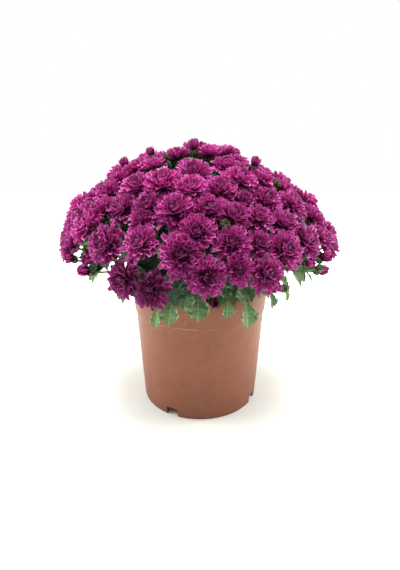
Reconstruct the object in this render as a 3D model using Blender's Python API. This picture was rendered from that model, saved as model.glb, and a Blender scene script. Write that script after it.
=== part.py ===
"""Pot chrysanthemum: a clay-coloured pot, its soil, five branching plants, their blooms and buds.

Units are metres and +Z is up. The pot stands on z = 0. A bearing is measured round the pot's axis,
from the front (-Y) towards the right (+X). A climb is measured up the dome of blooms, from its widest
level (0 degrees) to its top (90 degrees); below the widest level it is negative.
"""

import math
import random
from collections import namedtuple

import bmesh
import bpy
from mathutils import Vector

MM = 0.001
GAP = 0.3 * MM
SEED = 13
FLAT_ANGLE = math.radians(0.5)

# Pot
POT_HEIGHT = 119 * MM
POT_BASE_RADIUS = 57 * MM
POT_WALL_TOP_RADIUS = 62 * MM
POT_RIM_RADIUS = 65 * MM
COLLAR_START = 92.5 * MM
COLLAR_STEP = 1 * MM
RIM_WIDTH = 2.8 * MM
EDGE_ROUNDING = 0.7 * MM
FLOOR_UNDERSIDE = 9 * MM
FLOOR_TOP = 11 * MM
WALL_AT_FLOOR = 2.7 * MM
FOOT_WIDTH = 3 * MM
POT_SIDES = 32
NOTCH_BEARINGS = (-27, 63, 153, 243)
NOTCH_WIDTH = 12 * MM
NOTCH_HEIGHT = 8 * MM

# Soil
SOIL_LEVEL = 104 * MM
SOIL_CROWN = 2.5 * MM
SOIL_RINGS = (0.9, 0.45)
SOIL_LUMP = 1.0 * MM
STEM_DEPTH = 20 * MM

# Dome of blooms, where the flowers sit on their stalks
DOME_RADIUS = 116 * MM
DOME_LEVEL = 157 * MM
DOME_RISE = 74 * MM
DOME_DROP = 52 * MM
DOME_ROUNDNESS = 1.58
DOME_SKEW = 0.13
DOME_CORE = 135 * MM
HEM_PITCH = 12
PITCH_POWER = 0.9

# Plants
PLANT_COUNT = 5
SECTOR = 360 / PLANT_COUNT
SECTOR_TURN = 3
MAIN_REACH = 30 * MM
MAIN_RADIUS = 3.0 * MM
STEM_TAPER = 0.8
STEM_SIDES = 6
HOLE_ROOM = 0.36 * MM
MAIN_TOP = 124 * MM
MAIN_LEAN = 4 * MM
BRANCH_RADIUS = 1.5 * MM
BRANCH_BOW = 0.12
BRANCH_STAGGER = 2.2 * MM
BRANCH_STEPS = 5
BRANCH_SIDES = 3
JOINT_SHARING = 14 * MM
FORK_DEPTH = 0.64
FORKS = ((-19, 2), (19, 2), (-14, 36), (14, 36), (0, 66))
STALK_RADIUS = 0.8 * MM
STALK_STRAIGHT = 12 * MM
STALK_SLANT = 0.75
CALYX_RADIUS = 3.4 * MM
CALYX_DEPTH = 2.6 * MM
SECTOR_CLEAR = 4.3 * MM
MOST_TURN = 0.58

# Blooms
PLACES_TRIED = 2400
GOLDEN_ANGLE = 137.508
BLOOM_SPACING = 22 * MM
BLOOM_SIZES = (26 * MM, 28.5 * MM)
FRONT_GROWTH = 2.5
AXIS_CLEAR = 9 * MM
HEM_CLIMB = 2
FRONT_VIEW = Vector((0, -350 * MM, 228 * MM))
FRONT_COVER = -0.03
FACE_TILT = 7
HEART_HEIGHT = 0.4
NEIGHBOUR_REACH = 1.6
GROUP_SIZE = 3
GROUP_REACH = 28 * MM
WIDEST_CORNER = math.radians(80)
GRIP = (0.32, 0.36)
PETAL_COUNTS = (6, 7)
LARGE_BLOOM = 28 * MM
PETAL_RINGS = (
    (0, 1.0, 0.27, 0.06, 0.3), (0.5, 0.70, 0.25, 0, 0), (0, 0.60, 0.40, 0, 0),
    (0.5, 0.80, 0.66, 0.06, 0.1), (0, 0.46, 0.62, 0, 0),
)
CROWN_HEIGHT = 0.86

# The blooms on the front, as bearing, climb and diameter in millimetres, from the hem up
FRONT_BLOOMS = (
    (-17, -15, 26), (-27, -8, 26), (2, -1, 26), (12, 5, 21), (21, -2, 26),
    (-57, 7, 24), (-35, 15, 26), (-20, 17, 23), (-6, 13, 28), (11, 19, 23), (21, 19, 17),
    (30, 14, 24), (44, 17, 26), (57, 15, 22), (70, 6, 21),
    (-48, 21, 24), (-1, 24, 23), (38, 27, 22), (67, 26, 24), (-24, 29, 16), (-64, 25, 24),
    (-10, 34, 26), (4, 35, 23), (14, 32, 23), (25, 31, 21), (-49, 31, 23), (-37, 34, 22), (-24, 36, 23),
    (54, 36, 23), (36, 40, 24), (22, 41, 18), (-5, 44, 23), (11, 45, 24),
    (-59, 41, 23), (-37, 46, 25), (-21, 47, 25), (27, 51, 25), (49, 51, 24), (-66, 49, 23),
    (-5, 57, 26), (-70, 58, 23), (-46, 60, 20), (30, 63, 22), (45, 59, 19), (18, 74, 22), (-50, 74, 23),
)

# Buds that show their petals: bearing, climb, lift above the dome and diameter in millimetres
OPEN_BUDS = (
    (-12, 76, 6, 10), (-55, 64, 9, 7), (-80, 55, 7, 8), (47, 56, 9, 8),
    (-53, -2, 4, 7), (-44, -8, 2, 9), (-42, 4, -1, 9), (43, -1, -2, 7), (51, -11, 2, 8),
    (52, 1, 0, 9), (6, -30, -9, 8), (29, -18, -3, 7),
)

# Tight green buds: bearing, climb and lift above the dome in millimetres
GREEN_BUDS = (
    (-42, 66, 5), (53, 46, 6), (47, -7, 4), (36, -22, -4), (-45, 9, 0), (9, 27, 5), (140, 42, 6),
    (-120, 30, 6),
)
GREEN_BUD_RADIUS = 2.6 * MM
BUD_SIDES = 5
BUD_PROFILE = ((0.72, 0.06), (0.98, 0.75), (0.86, 1.5))
BUD_DIMPLE = 1.3

# Leaves that hang below the blooms: bearing, reach, level, pitch, length and width in millimetres
SKIRT_LEAVES = (
    (-26, 74, 119, -50, 22, 11), (-17, 70, 127, -38, 27, 20), (-8, 72, 140, -40, 26, 18),
    (3, 72, 131, -40, 30, 20), (17, 72, 126, -62, 20, 12), (29, 70, 126, -48, 31, 19),
    (24, 74, 138, -10, 22, 20), (46, 76, 129, -48, 22, 12), (54, 84, 133, -55, 22, 9),
    (54, 82, 149, -12, 28, 21), (68, 90, 141, -25, 22, 7), (-62, 80, 147, -18, 32, 20),
    (-46, 74, 134, -30, 24, 18),
)
BACK_SKIRT_BEARINGS = (88, 124, 143, 165, 194, 214, 235, 266)

# Leaves just under the blooms, seen through the gaps: bearing, climb, length and width in millimetres
INNER_LEAVES = (
    (-27, 27, 22, 14), (-17, 22, 22, 14), (-20, 3, 24, 14), (22, 8, 22, 14),
    (33, 24, 24, 14), (-20, 58, 22, 14), (62, 8, 22, 14), (-60, 16, 22, 14),
    (130, 12, 22, 14), (165, 35, 22, 14), (-90, 38, 22, 14),
)
INNER_LEAF_DEPTH = 19 * MM
INNER_LEAF_SHARE = 0.6
INNER_LEAF_RISE = 0.6
LEAF_THICKNESS = 0.7 * MM
LEAF_STALK_WIDTH = 1.3 * MM
LEAF_FOLD = 0.28
LEAF_EDGE = ((0.24, 0.36), (0.38, 0.19), (0.66, 0.50), (0.77, 0.24))
LEAF_RIB = (0.38, 0.77)
SKIRT_DROOP = 48
INNER_DROOP = 18
BACK_LEAF = (72, 128, -42, 28, 18)

COLOURS = {
    "pot": ((0.33, 0.15, 0.09, 1.0), 0.62),
    "soil": ((0.035, 0.022, 0.014, 1.0), 0.95),
    "leaf": ((0.075, 0.17, 0.055, 1.0), 0.65),
    "petal": ((0.33, 0.018, 0.19, 1.0), 0.55),
    "bud": ((0.20, 0.012, 0.10, 1.0), 0.55),
}

Flower = namedtuple("Flower", "base facing spin radius kind plant seed")
Leaf = namedtuple("Leaf", "bearing root pitch length width droop")


def bearing_direction(bearing):
    """Horizontal unit vector at a bearing."""
    angle = math.radians(bearing)
    return Vector((math.sin(angle), -math.cos(angle), 0))


def dome_point(bearing, climb):
    """Point of the dome's surface at a bearing and a climb."""
    angle = math.radians(climb)
    if climb < 0:
        reach = DOME_RADIUS * math.cos(angle)
        level = DOME_LEVEL + DOME_DROP * math.sin(angle)
    else:
        power = 2 / (DOME_ROUNDNESS - DOME_SKEW * math.sin(math.radians(bearing)))
        reach = DOME_RADIUS * math.cos(angle) ** power
        level = DOME_LEVEL + DOME_RISE * math.sin(angle) ** power
    return bearing_direction(bearing) * reach + Vector((0, 0, level))


def dome_facing(bearing, climb):
    """Direction in which a flower faces there: outwards at the hem, upwards at the top."""
    share = max(climb, 0) / 90
    rise = math.radians(HEM_PITCH + (90 - HEM_PITCH) * share ** PITCH_POWER)
    return bearing_direction(bearing) * math.cos(rise) + Vector((0, 0, math.sin(rise)))


def make_mesh(name, points, faces):
    """Closed mesh with its faces turned outwards."""
    mesh = bpy.data.meshes.new(name)
    mesh.from_pydata(points, [], faces)
    shape = bmesh.new()
    shape.from_mesh(mesh)
    bmesh.ops.triangulate(shape, faces=shape.faces)
    bmesh.ops.recalc_face_normals(shape, faces=shape.faces)
    if shape.calc_volume(signed=True) < 0:
        bmesh.ops.reverse_faces(shape, faces=shape.faces)
    shape.to_mesh(mesh)
    shape.free()
    return mesh


def make_material(name):
    """Plain finish of one kind of piece."""
    colour, roughness = COLOURS[name]
    material = bpy.data.materials.new(name)
    material.use_nodes = True
    shader = material.node_tree.nodes["Principled BSDF"]
    shader.inputs["Base Color"].default_value = colour
    shader.inputs["Roughness"].default_value = roughness
    shader.inputs["Metallic"].default_value = 0.0
    return material


def add_object(name, mesh, material, stand):
    """Named object on the stand point."""
    mesh.materials.clear()
    mesh.materials.append(material)
    piece = bpy.data.objects.new(name, mesh)
    piece.parent = stand
    bpy.context.scene.collection.objects.link(piece)
    return piece


def boolean(target, pieces, operation):
    """Mesh of the target joined with, or cut by, all the pieces at once."""
    scene = bpy.context.scene
    body = bpy.data.objects.new("body", target)
    scene.collection.objects.link(body)
    helpers = bpy.data.collections.new("helpers")
    scene.collection.children.link(helpers)
    for mesh in pieces:
        helpers.objects.link(bpy.data.objects.new("helper", mesh))
    modifier = body.modifiers.new("Join", "BOOLEAN")
    modifier.operation = operation
    modifier.operand_type = "COLLECTION"
    modifier.collection = helpers
    modifier.solver = "MANIFOLD"
    bpy.context.view_layer.update()
    view = bpy.context.evaluated_depsgraph_get()
    joined = bpy.data.meshes.new_from_object(body.evaluated_get(view))
    for helper in list(helpers.objects):
        bpy.data.objects.remove(helper)
    bpy.data.collections.remove(helpers)
    bpy.data.objects.remove(body)
    return largest_body(joined)


def largest_body(mesh):
    """Mesh without the loose scraps and sealed hollows that joining can leave."""
    shape = bmesh.new()
    shape.from_mesh(mesh)
    unseen = set(shape.faces)
    bodies = []
    while unseen:
        body = {unseen.pop()}
        rim = list(body)
        while rim:
            for line in rim.pop().edges:
                for beside in line.link_faces:
                    if beside not in body:
                        body.add(beside)
                        rim.append(beside)
        unseen -= body
        bodies.append(body)
    bodies.sort(key=len)
    for body in bodies[:-1]:
        bmesh.ops.delete(shape, geom=list(body), context="FACES")
    shape.to_mesh(mesh)
    shape.free()
    return mesh


def dissolve_flat(mesh):
    """Mesh with the faces that lie in one plane made one."""
    shape = bmesh.new()
    shape.from_mesh(mesh)
    bmesh.ops.dissolve_limit(
        shape, angle_limit=FLAT_ANGLE, verts=shape.verts, edges=shape.edges, delimit={"NORMAL"}
    )
    shape.to_mesh(mesh)
    shape.free()
    return mesh


def turned(name, profile, sides):
    """Solid turned about the pot's axis from a profile of (radius, level) that starts and ends on it."""
    points = [Vector((0, 0, profile[0][1]))]
    for radius, level in profile[1:-1]:
        for side in range(sides):
            points.append(bearing_direction(360 * side / sides) * radius + Vector((0, 0, level)))
    points.append(Vector((0, 0, profile[-1][1])))
    faces = []
    rings = len(profile) - 2
    last = len(points) - 1
    for side in range(sides):
        after = (side + 1) % sides
        faces.append((0, 1 + after, 1 + side))
        for ring in range(rings - 1):
            low = 1 + ring * sides
            high = low + sides
            faces.append((low + side, low + after, high + after, high + side))
        top = 1 + (rings - 1) * sides
        faces.append((top + side, top + after, last))
    return make_mesh(name, points, faces)


def inner_radius(level):
    """Inner radius of the pot's wall at a level."""
    share = (level - FLOOR_TOP) / (POT_HEIGHT - FLOOR_TOP)
    low = POT_BASE_RADIUS + 0.5 * MM - WALL_AT_FLOOR
    high = POT_RIM_RADIUS - RIM_WIDTH
    return low + (high - low) * share


def box_mesh(centre, across, along, height, bearing):
    """Upright box whose length runs along a bearing."""
    outward = bearing_direction(bearing) * along / 2
    side = bearing_direction(bearing + 90) * across / 2
    rise = Vector((0, 0, height / 2))
    corners = [
        centre + outward * a + side * b + rise * c
        for a in (-1, 1) for b in (-1, 1) for c in (-1, 1)
    ]
    faces = ((0, 1, 3, 2), (4, 5, 7, 6), (0, 1, 5, 4), (2, 3, 7, 6), (0, 2, 6, 4), (1, 3, 7, 5))
    return make_mesh("box", corners, faces)


def make_pot():
    """Turned pot with a collar, a raised floor and a foot ring that four notches interrupt."""
    foot_inner = POT_BASE_RADIUS - FOOT_WIDTH
    wall_step = POT_WALL_TOP_RADIUS + COLLAR_STEP
    rim_inner = POT_RIM_RADIUS - RIM_WIDTH
    profile = (
        (0, FLOOR_UNDERSIDE),
        (foot_inner, FLOOR_UNDERSIDE),
        (foot_inner, 0),
        (POT_BASE_RADIUS - EDGE_ROUNDING, 0),
        (POT_BASE_RADIUS, EDGE_ROUNDING),
        (POT_WALL_TOP_RADIUS, COLLAR_START),
        (wall_step, COLLAR_START + EDGE_ROUNDING),
        (POT_RIM_RADIUS, POT_HEIGHT - EDGE_ROUNDING),
        (POT_RIM_RADIUS - EDGE_ROUNDING, POT_HEIGHT),
        (rim_inner, POT_HEIGHT),
        (inner_radius(FLOOR_TOP), FLOOR_TOP),
        (0, FLOOR_TOP),
    )
    cutters = []
    for bearing in NOTCH_BEARINGS:
        centre = bearing_direction(bearing) * POT_BASE_RADIUS
        cutters.append(box_mesh(centre, NOTCH_WIDTH, 4 * FOOT_WIDTH, 2 * NOTCH_HEIGHT, bearing))
    return dissolve_flat(boolean(turned("pot", profile, POT_SIDES), cutters, "DIFFERENCE"))


def make_soil(rng):
    """Soil that fills the pot to below its rim, lumpy on top, with a plain hole for each stem."""
    floor = FLOOR_TOP + GAP
    edge = SOIL_LEVEL
    points = [Vector((0, 0, floor))]
    rings = [(inner_radius(floor) - GAP, floor, 0), (inner_radius(edge) - GAP, edge, 0)]
    for share in SOIL_RINGS:
        rise = SOIL_CROWN * math.cos(share * math.pi / 2)
        rings.append((inner_radius(edge) * share, edge + rise, SOIL_LUMP))
    for radius, level, lump in rings:
        for side in range(POT_SIDES):
            height = level + rng.uniform(-lump, lump)
            points.append(bearing_direction(360 * side / POT_SIDES) * radius + Vector((0, 0, height)))
    points.append(Vector((0, 0, edge + SOIL_CROWN)))
    faces = []
    last = len(points) - 1
    for side in range(POT_SIDES):
        after = (side + 1) % POT_SIDES
        faces.append((0, 1 + after, 1 + side))
        for ring in range(len(rings) - 1):
            low = 1 + ring * POT_SIDES
            high = low + POT_SIDES
            faces.append((low + side, low + after, high + after, high + side))
        faces.append((high + side, high + after, last))
    holes = []
    for plant in range(PLANT_COUNT):
        foot, top = stem_ends(plant)
        along = (top - foot).normalized()
        hole = (foot - along * GAP, foot + along * 2 * STEM_DEPTH)
        holes.append(tube(hole, (MAIN_RADIUS + HOLE_ROOM,) * 2, STEM_SIDES))
    return dissolve_flat(boolean(make_mesh("soil", points, faces), holes, "DIFFERENCE"))


def stem_ends(plant):
    """Foot of a plant's main stem, at the bottom of its hole in the soil, and its top."""
    outward = bearing_direction(plant * SECTOR + SECTOR_TURN)
    foot = outward * MAIN_REACH + Vector((0, 0, SOIL_LEVEL - STEM_DEPTH))
    top = outward * (MAIN_REACH + MAIN_LEAN) + Vector((0, 0, MAIN_TOP))
    return foot, top


def tube(path, radii, sides):
    """Closed tube along a path, with a radius at each of its points."""
    points = []
    aside = Vector((0.31, 0.42, 0.85))
    for index, centre in enumerate(path):
        before = path[max(index - 1, 0)]
        ahead = path[min(index + 1, len(path) - 1)]
        along = (ahead - before).normalized()
        first = (aside - along * aside.dot(along)).normalized()
        second = along.cross(first)
        for side in range(sides):
            angle = 2 * math.pi * side / sides
            turn = first * math.cos(angle) + second * math.sin(angle)
            points.append(centre + turn * radii[index])
    faces = [tuple(range(sides)), tuple(range(len(points) - sides, len(points)))]
    for ring in range(len(path) - 1):
        for side in range(sides):
            after = (side + 1) % sides
            low = ring * sides
            high = low + sides
            faces.append((low + side, low + after, high + after, high + side))
    return make_mesh("tube", points, faces)


def bend(start, middle, end, steps):
    """Points of a smooth bend from start to end, drawn towards the middle."""
    path = []
    for step in range(steps + 1):
        share = step / steps
        path.append(
            start * (1 - share) ** 2 + middle * 2 * share * (1 - share) + end * share ** 2
        )
    return path


def side_vectors(facing, spin):
    """Two directions square to a flower's facing, turned by its spin."""
    first = facing.orthogonal().normalized()
    second = facing.cross(first)
    turned_first = first * math.cos(spin) + second * math.sin(spin)
    return turned_first, facing.cross(turned_first)


def plant_of(bearing):
    """Number of the plant whose sector holds a bearing."""
    return round((bearing - SECTOR_TURN) / SECTOR) % PLANT_COUNT


def settle_bearing(bearing, climb):
    """Bearing moved, where needed, so that a stalk there stays clear of its sector's sides."""
    reach = dome_point(bearing, climb).xy.length
    middle = plant_of(bearing) * SECTOR + SECTOR_TURN
    offset = (bearing - middle + 180) % 360 - 180
    room = SECTOR / 2 - math.degrees(math.asin(min(SECTOR_CLEAR / reach, MOST_TURN)))
    return middle + max(-room, min(room, offset))


def make_flower(bearing, climb, lift, radius, kind, rng):
    """Flower or bud at its place on the dome."""
    bearing = settle_bearing(bearing, climb)
    facing = dome_facing(bearing, climb)
    base = dome_point(bearing, climb) + facing * lift
    tilt = math.tan(math.radians(FACE_TILT))
    sway = Vector((rng.uniform(-tilt, tilt), rng.uniform(-tilt, tilt), rng.uniform(-tilt, tilt)))
    facing = (facing + sway).normalized()
    spin = rng.uniform(0, math.tau)
    return Flower(base, facing, spin, radius, kind, plant_of(bearing), rng.random())


def back_places(taken):
    """Places for the blooms that the front doesn't show, spread evenly over the rest of the dome."""
    lowest = math.sin(math.radians(HEM_CLIMB))
    for index in range(PLACES_TRIED):
        share = (index + 0.5) / PLACES_TRIED
        climb = math.degrees(math.asin(1 - share * (1 - lowest)))
        bearing = index * GOLDEN_ANGLE % 360 - 180
        point = dome_point(bearing, climb)
        if point.xy.length < AXIS_CLEAR:
            continue
        if dome_facing(bearing, climb).dot((FRONT_VIEW - point).normalized()) > FRONT_COVER:
            continue
        if all((point - other).length > BLOOM_SPACING for other in taken):
            taken.append(point)
            yield bearing, climb


def lay_out(rng):
    """All flowers and buds of the plant."""
    flowers = []
    for bearing, climb, size in FRONT_BLOOMS:
        flowers.append(make_flower(bearing, climb, 0, (size + FRONT_GROWTH) * MM / 2, "bloom", rng))
    taken = [flower.base for flower in flowers]
    for bearing, climb in back_places(taken):
        radius = rng.uniform(*BLOOM_SIZES) / 2
        flowers.append(make_flower(bearing, climb, 0, radius, "bloom", rng))
    for bearing, climb, lift, size in OPEN_BUDS:
        flowers.append(make_flower(bearing, climb, lift * MM, size * MM / 2, "bud", rng))
    for bearing, climb, lift in GREEN_BUDS:
        flowers.append(make_flower(bearing, climb, lift * MM, GREEN_BUD_RADIUS, "green", rng))
    return flowers


def heart(flower):
    """Middle of a flower's body."""
    return flower.base + flower.facing * flower.radius * HEART_HEIGHT


def are_partners(flowers, index, other):
    """Whether two blooms stand side by side, with no third one between them."""
    own, beside = heart(flowers[index]), heart(flowers[other])
    if (own - beside).length > GROUP_REACH:
        return False
    for number, third in enumerate(flowers):
        if number not in (index, other):
            to_own, to_beside = own - heart(third), beside - heart(third)
            if to_own.length < 2 * GROUP_REACH and to_own.angle(to_beside) > WIDEST_CORNER:
                return False
    return True


def group_blooms(flowers):
    """Clusters of neighbouring blooms, each as a list of (bloom, the member that it holds on to)."""
    blooms = [index for index, flower in enumerate(flowers) if flower.kind == "bloom"]
    near = {
        index: [other for other in blooms if other != index and are_partners(flowers, index, other)]
        for index in blooms
    }
    free = set(blooms)
    groups = []

    def loneliness(pair):
        return len([other for other in near[pair[0]] if other in free]), pair[0]

    while free:
        group = [min(((index, None) for index in free), key=loneliness)]
        free.discard(group[0][0])
        while len(group) < GROUP_SIZE:
            beside = [(other, host) for host, _ in group for other in near[host] if other in free]
            if not beside:
                break
            group.append(min(beside, key=loneliness))
            free.discard(group[-1][0])
        groups.append(group)
    return join_strays(groups, near)


def join_strays(groups, near):
    """Clusters with each bloom that was left alone added to its smallest neighbour."""
    kept = [group for group in groups if len(group) > 1]
    for stray in [group[0][0] for group in groups if len(group) == 1]:
        hosts = [
            (len(group), number, index)
            for number, group in enumerate(kept) for index, _ in group if index in near[stray]
        ]
        if hosts:
            _, number, index = min(hosts)
            kept[number].append((stray, index))
        else:
            kept.append([(stray, None)])
    return kept


def bounds_between(flower, flowers, partners):
    """Planes that keep a flower's petals on its own side of its neighbours and their stalks."""
    planes = []
    own = heart(flower)
    for other in flowers:
        if other is flower:
            continue
        away = heart(other) - own
        distance = away.length
        if distance < (flower.radius + other.radius) * NEIGHBOUR_REACH and other not in partners:
            share = flower.radius / (flower.radius + other.radius)
            planes.append((own + away * share, away.normalized()))
        foot = other.base - own
        along = foot - other.facing * foot.dot(other.facing)
        if 0 < along.length < flower.radius * NEIGHBOUR_REACH:
            width = STALK_RADIUS if other.kind == "bloom" else other.radius
            width = CALYX_RADIUS if other in partners else width
            edge = own + along - along.normalized() * (width + GAP)
            planes.append((edge, along.normalized()))
    return planes


def keep_inside(point, pole, planes):
    """Point drawn towards its flower's axis until it is clear of every plane."""
    for anchor, normal in planes:
        excess = (point - anchor).dot(normal) + GAP * 0.6
        if excess > 0:
            run = (point - pole).dot(normal)
            share = max(0.05, 1 - excess / run) if run > 0 else 1
            point = pole + (point - pole) * share
    return point


def rosette(flower, planes, host):
    """Bloom of two layers of pointed petals round a raised centre; one petal reaches into its host.

    A ring of PETAL_RINGS is (share of a petal turned, radius, height, spread of radius, spread of height).
    """
    rng = random.Random(flower.seed)
    count = PETAL_COUNTS[1] if flower.radius * 2 >= LARGE_BLOOM else PETAL_COUNTS[0]
    first, second = side_vectors(flower.facing, flower.spin)
    pitch = math.tau / count
    points = [flower.base]

    def add(turns, radius, height):
        pole = flower.base + flower.facing * height * flower.radius
        out = first * math.cos(turns * pitch) + second * math.sin(turns * pitch)
        points.append(keep_inside(pole + out * radius * flower.radius, pole, planes))

    def vary(value, amount):
        return value * rng.uniform(1 - amount, 1 + amount)

    for shift, radius, height, radius_spread, height_spread in PETAL_RINGS:
        for petal in range(count):
            add(petal + shift, vary(radius, radius_spread), vary(height, height_spread))
    points.append(flower.base + flower.facing * flower.radius * CROWN_HEIGHT)
    crown = len(points) - 1
    if host:
        towards = host.base - flower.base
        turns = math.atan2(towards.dot(second), towards.dot(first)) / pitch
        back = (flower.base - host.base).normalized()
        aside = (back - host.facing * back.dot(host.facing)).normalized()
        hold = (aside * GRIP[0] + host.facing * GRIP[1]) * host.radius
        points[1 + round(turns) % count] = host.base + hold

    def ring(number, petal):
        return 1 + number * count + petal % count

    faces = []
    for petal in range(count):
        tip, notch, groove = ring(0, petal), ring(1, petal), ring(2, petal)
        next_tip, next_groove = ring(0, petal + 1), ring(2, petal + 1)
        high, dip, next_dip = ring(3, petal), ring(4, petal), ring(4, petal + 1)
        faces += [(0, tip, notch), (0, notch, next_tip)]
        faces += [(tip, groove, notch), (notch, groove, next_groove), (next_tip, notch, next_groove)]
        faces += [(groove, dip, high), (groove, high, next_groove), (next_groove, high, next_dip)]
        faces += [(dip, crown, high), (high, crown, next_dip)]
    return make_mesh("bloom", points, faces)


def bud_petals(flower, planes):
    """Closed petals of an opening bud, a blunt cone that stands in its calyx."""
    first, second = side_vectors(flower.facing, flower.spin)
    radius = flower.radius
    points = [flower.base + flower.facing * GAP]
    for step, (reach, height) in enumerate(BUD_PROFILE):
        for side in range(BUD_SIDES):
            angle = math.tau * (side + 0.5 * step) / BUD_SIDES
            pole = flower.base + flower.facing * (height * radius + GAP)
            out = first * math.cos(angle) + second * math.sin(angle)
            points.append(keep_inside(pole + out * reach * radius, pole, planes))
    points.append(flower.base + flower.facing * radius * BUD_DIMPLE)
    last = len(points) - 1
    faces = []
    for side in range(BUD_SIDES):
        after = (side + 1) % BUD_SIDES
        faces.append((0, 1 + side, 1 + after))
        for ring in range(len(BUD_PROFILE) - 1):
            low = 1 + ring * BUD_SIDES
            high = low + BUD_SIDES
            faces.append((low + side, low + after, high + side))
            faces.append((low + after, high + after, high + side))
        top = 1 + (len(BUD_PROFILE) - 1) * BUD_SIDES
        faces.append((top + side, top + after, last))
    return make_mesh("bud", points, faces)


def leaf(place, joint):
    """Lobed blade that bends down by its droop, on a stalk from a joint of its plant's stems."""
    ahead = bearing_direction(place.bearing)
    side = bearing_direction(place.bearing + 90)
    start = math.radians(place.pitch)
    curl = math.radians(place.droop)

    def spot(along, across, face):
        slope = start - curl * along
        run = (math.sin(start) - math.sin(slope)) / curl
        rise = (math.cos(slope) - math.cos(start)) / curl
        lift = ahead * -math.sin(slope) + Vector((0, 0, math.cos(slope)))
        centre = place.root + (ahead * run + Vector((0, 0, rise))) * place.length
        fold = abs(across) * place.width * LEAF_FOLD
        return centre + side * across * place.width + lift * (fold + face * LEAF_THICKNESS / 2)

    half = [(0, LEAF_STALK_WIDTH / place.width / 2)] + list(LEAF_EDGE)
    outline = half + [(1, 0)] + [(along, -across) for along, across in reversed(half)]
    corners = outline + [(along, 0) for along in LEAF_RIB]
    points = [spot(along, across, face) for face in (1, -1) for along, across in corners]
    tip, last = len(half), len(outline) - 1
    low, high = len(outline), len(outline) + 1
    right = ((0, 1, 2), (0, 2, low), (low, 2, 3), (low, 3, 4), (low, 4, high), (high, 4, tip))
    left = [tuple(last - corner if corner <= last else corner for corner in face) for face in right]
    blade = [(0, low, last)] + list(right) + left
    shift = len(corners)
    faces = blade + [tuple(corner + shift for corner in face) for face in blade]
    for corner in range(last):
        faces.append((corner, corner + 1, corner + 1 + shift, corner + shift))
    stalk = (place.root - joint).normalized()
    across = (side - stalk * side.dot(stalk)).normalized() * LEAF_STALK_WIDTH / 2
    upward = stalk.cross(across).normalized() * LEAF_STALK_WIDTH / 2
    foot = len(points)
    points += [joint + across + upward, joint - across + upward]
    points += [joint - across - upward, joint + across - upward]
    neck = (0, last, last + shift, shift)
    for corner in range(4):
        after = (corner + 1) % 4
        faces.append((neck[corner], neck[after], foot + after, foot + corner))
    faces.append((foot, foot + 1, foot + 2, foot + 3))
    return make_mesh("leaf", points, faces)


def flower_stalk(flower, joint):
    """Stalk from a joint of its plant to the flower, widened to the calyx."""
    inner = flower.base - flower.facing * STALK_STRAIGHT
    seat = flower.base - flower.facing * GAP
    radius = flower.radius
    path = [joint]
    widths = [STALK_RADIUS]
    if (flower.base - joint).normalized().dot(flower.facing) < STALK_SLANT:
        path.append(inner)
        widths.append(STALK_RADIUS)
    if flower.kind == "bloom":
        path += [seat - flower.facing * CALYX_DEPTH, seat]
        widths += [STALK_RADIUS, CALYX_RADIUS]
    elif flower.kind == "bud":
        path += [seat - flower.facing * radius, seat - flower.facing * radius * 0.5, seat]
        widths += [STALK_RADIUS, radius * 0.8, radius * 0.85]
    else:
        path += [seat - flower.facing * radius, seat, seat + flower.facing * radius * 1.6]
        widths += [STALK_RADIUS, radius, radius * 0.4]
    sides = 3 if flower.kind == "bloom" else 4
    return tube(path, widths, sides)


def choose_joints(members, joints):
    """Joint of the stems for each flower, near it and, where it can be, with no other stalk."""
    uses = [0] * len(joints)
    chosen = []
    for flower in members:
        inner = flower.base - flower.facing * STALK_STRAIGHT
        costs = [
            (joint - inner).length + JOINT_SHARING * used for joint, used in zip(joints, uses)
        ]
        best = costs.index(min(costs))
        uses[best] += 1
        chosen.append(joints[best])
    return chosen


def plant_skeleton(plant):
    """Main stem and branches of a plant, and the joints along them where stalks may leave."""
    middle = plant * SECTOR + SECTOR_TURN
    foot, top = stem_ends(plant)
    solids = [tube((foot, top), (MAIN_RADIUS, MAIN_RADIUS * STEM_TAPER), STEM_SIDES)]
    joints = []
    core = Vector((0, 0, DOME_CORE))
    for number, (offset, climb) in enumerate(FORKS):
        start = top - Vector((0, 0, MAIN_RADIUS + BRANCH_STAGGER * (len(FORKS) - 1 - number)))
        fork = core.lerp(dome_point(middle + offset, climb), FORK_DEPTH)
        knee = top.lerp(fork, 0.5) + Vector((0, 0, (fork - top).length * BRANCH_BOW))
        path = bend(start, knee, fork, BRANCH_STEPS)
        widths = [BRANCH_RADIUS] * len(path)
        solids.append(tube(path, widths, BRANCH_SIDES))
        joints += [path[step].lerp(path[step + 1], 0.5) for step in range(1, BRANCH_STEPS)]
    return solids, joints


def leaf_places():
    """Every leaf of the five plants."""
    hanging = list(SKIRT_LEAVES) + [(bearing,) + BACK_LEAF for bearing in BACK_SKIRT_BEARINGS]
    for bearing, reach, level, pitch, length, width in hanging:
        root = bearing_direction(bearing) * reach * MM + Vector((0, 0, level * MM))
        yield Leaf(bearing, root, pitch, length * MM, width * MM, SKIRT_DROOP)
    for bearing, climb, length, width in INNER_LEAVES:
        facing = dome_facing(bearing, climb)
        root = dome_point(bearing, climb) - facing * INNER_LEAF_DEPTH
        pitch = climb * INNER_LEAF_RISE - 10
        yield Leaf(bearing, root, pitch, length * MM * INNER_LEAF_SHARE, width * MM, INNER_DROOP)


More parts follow.
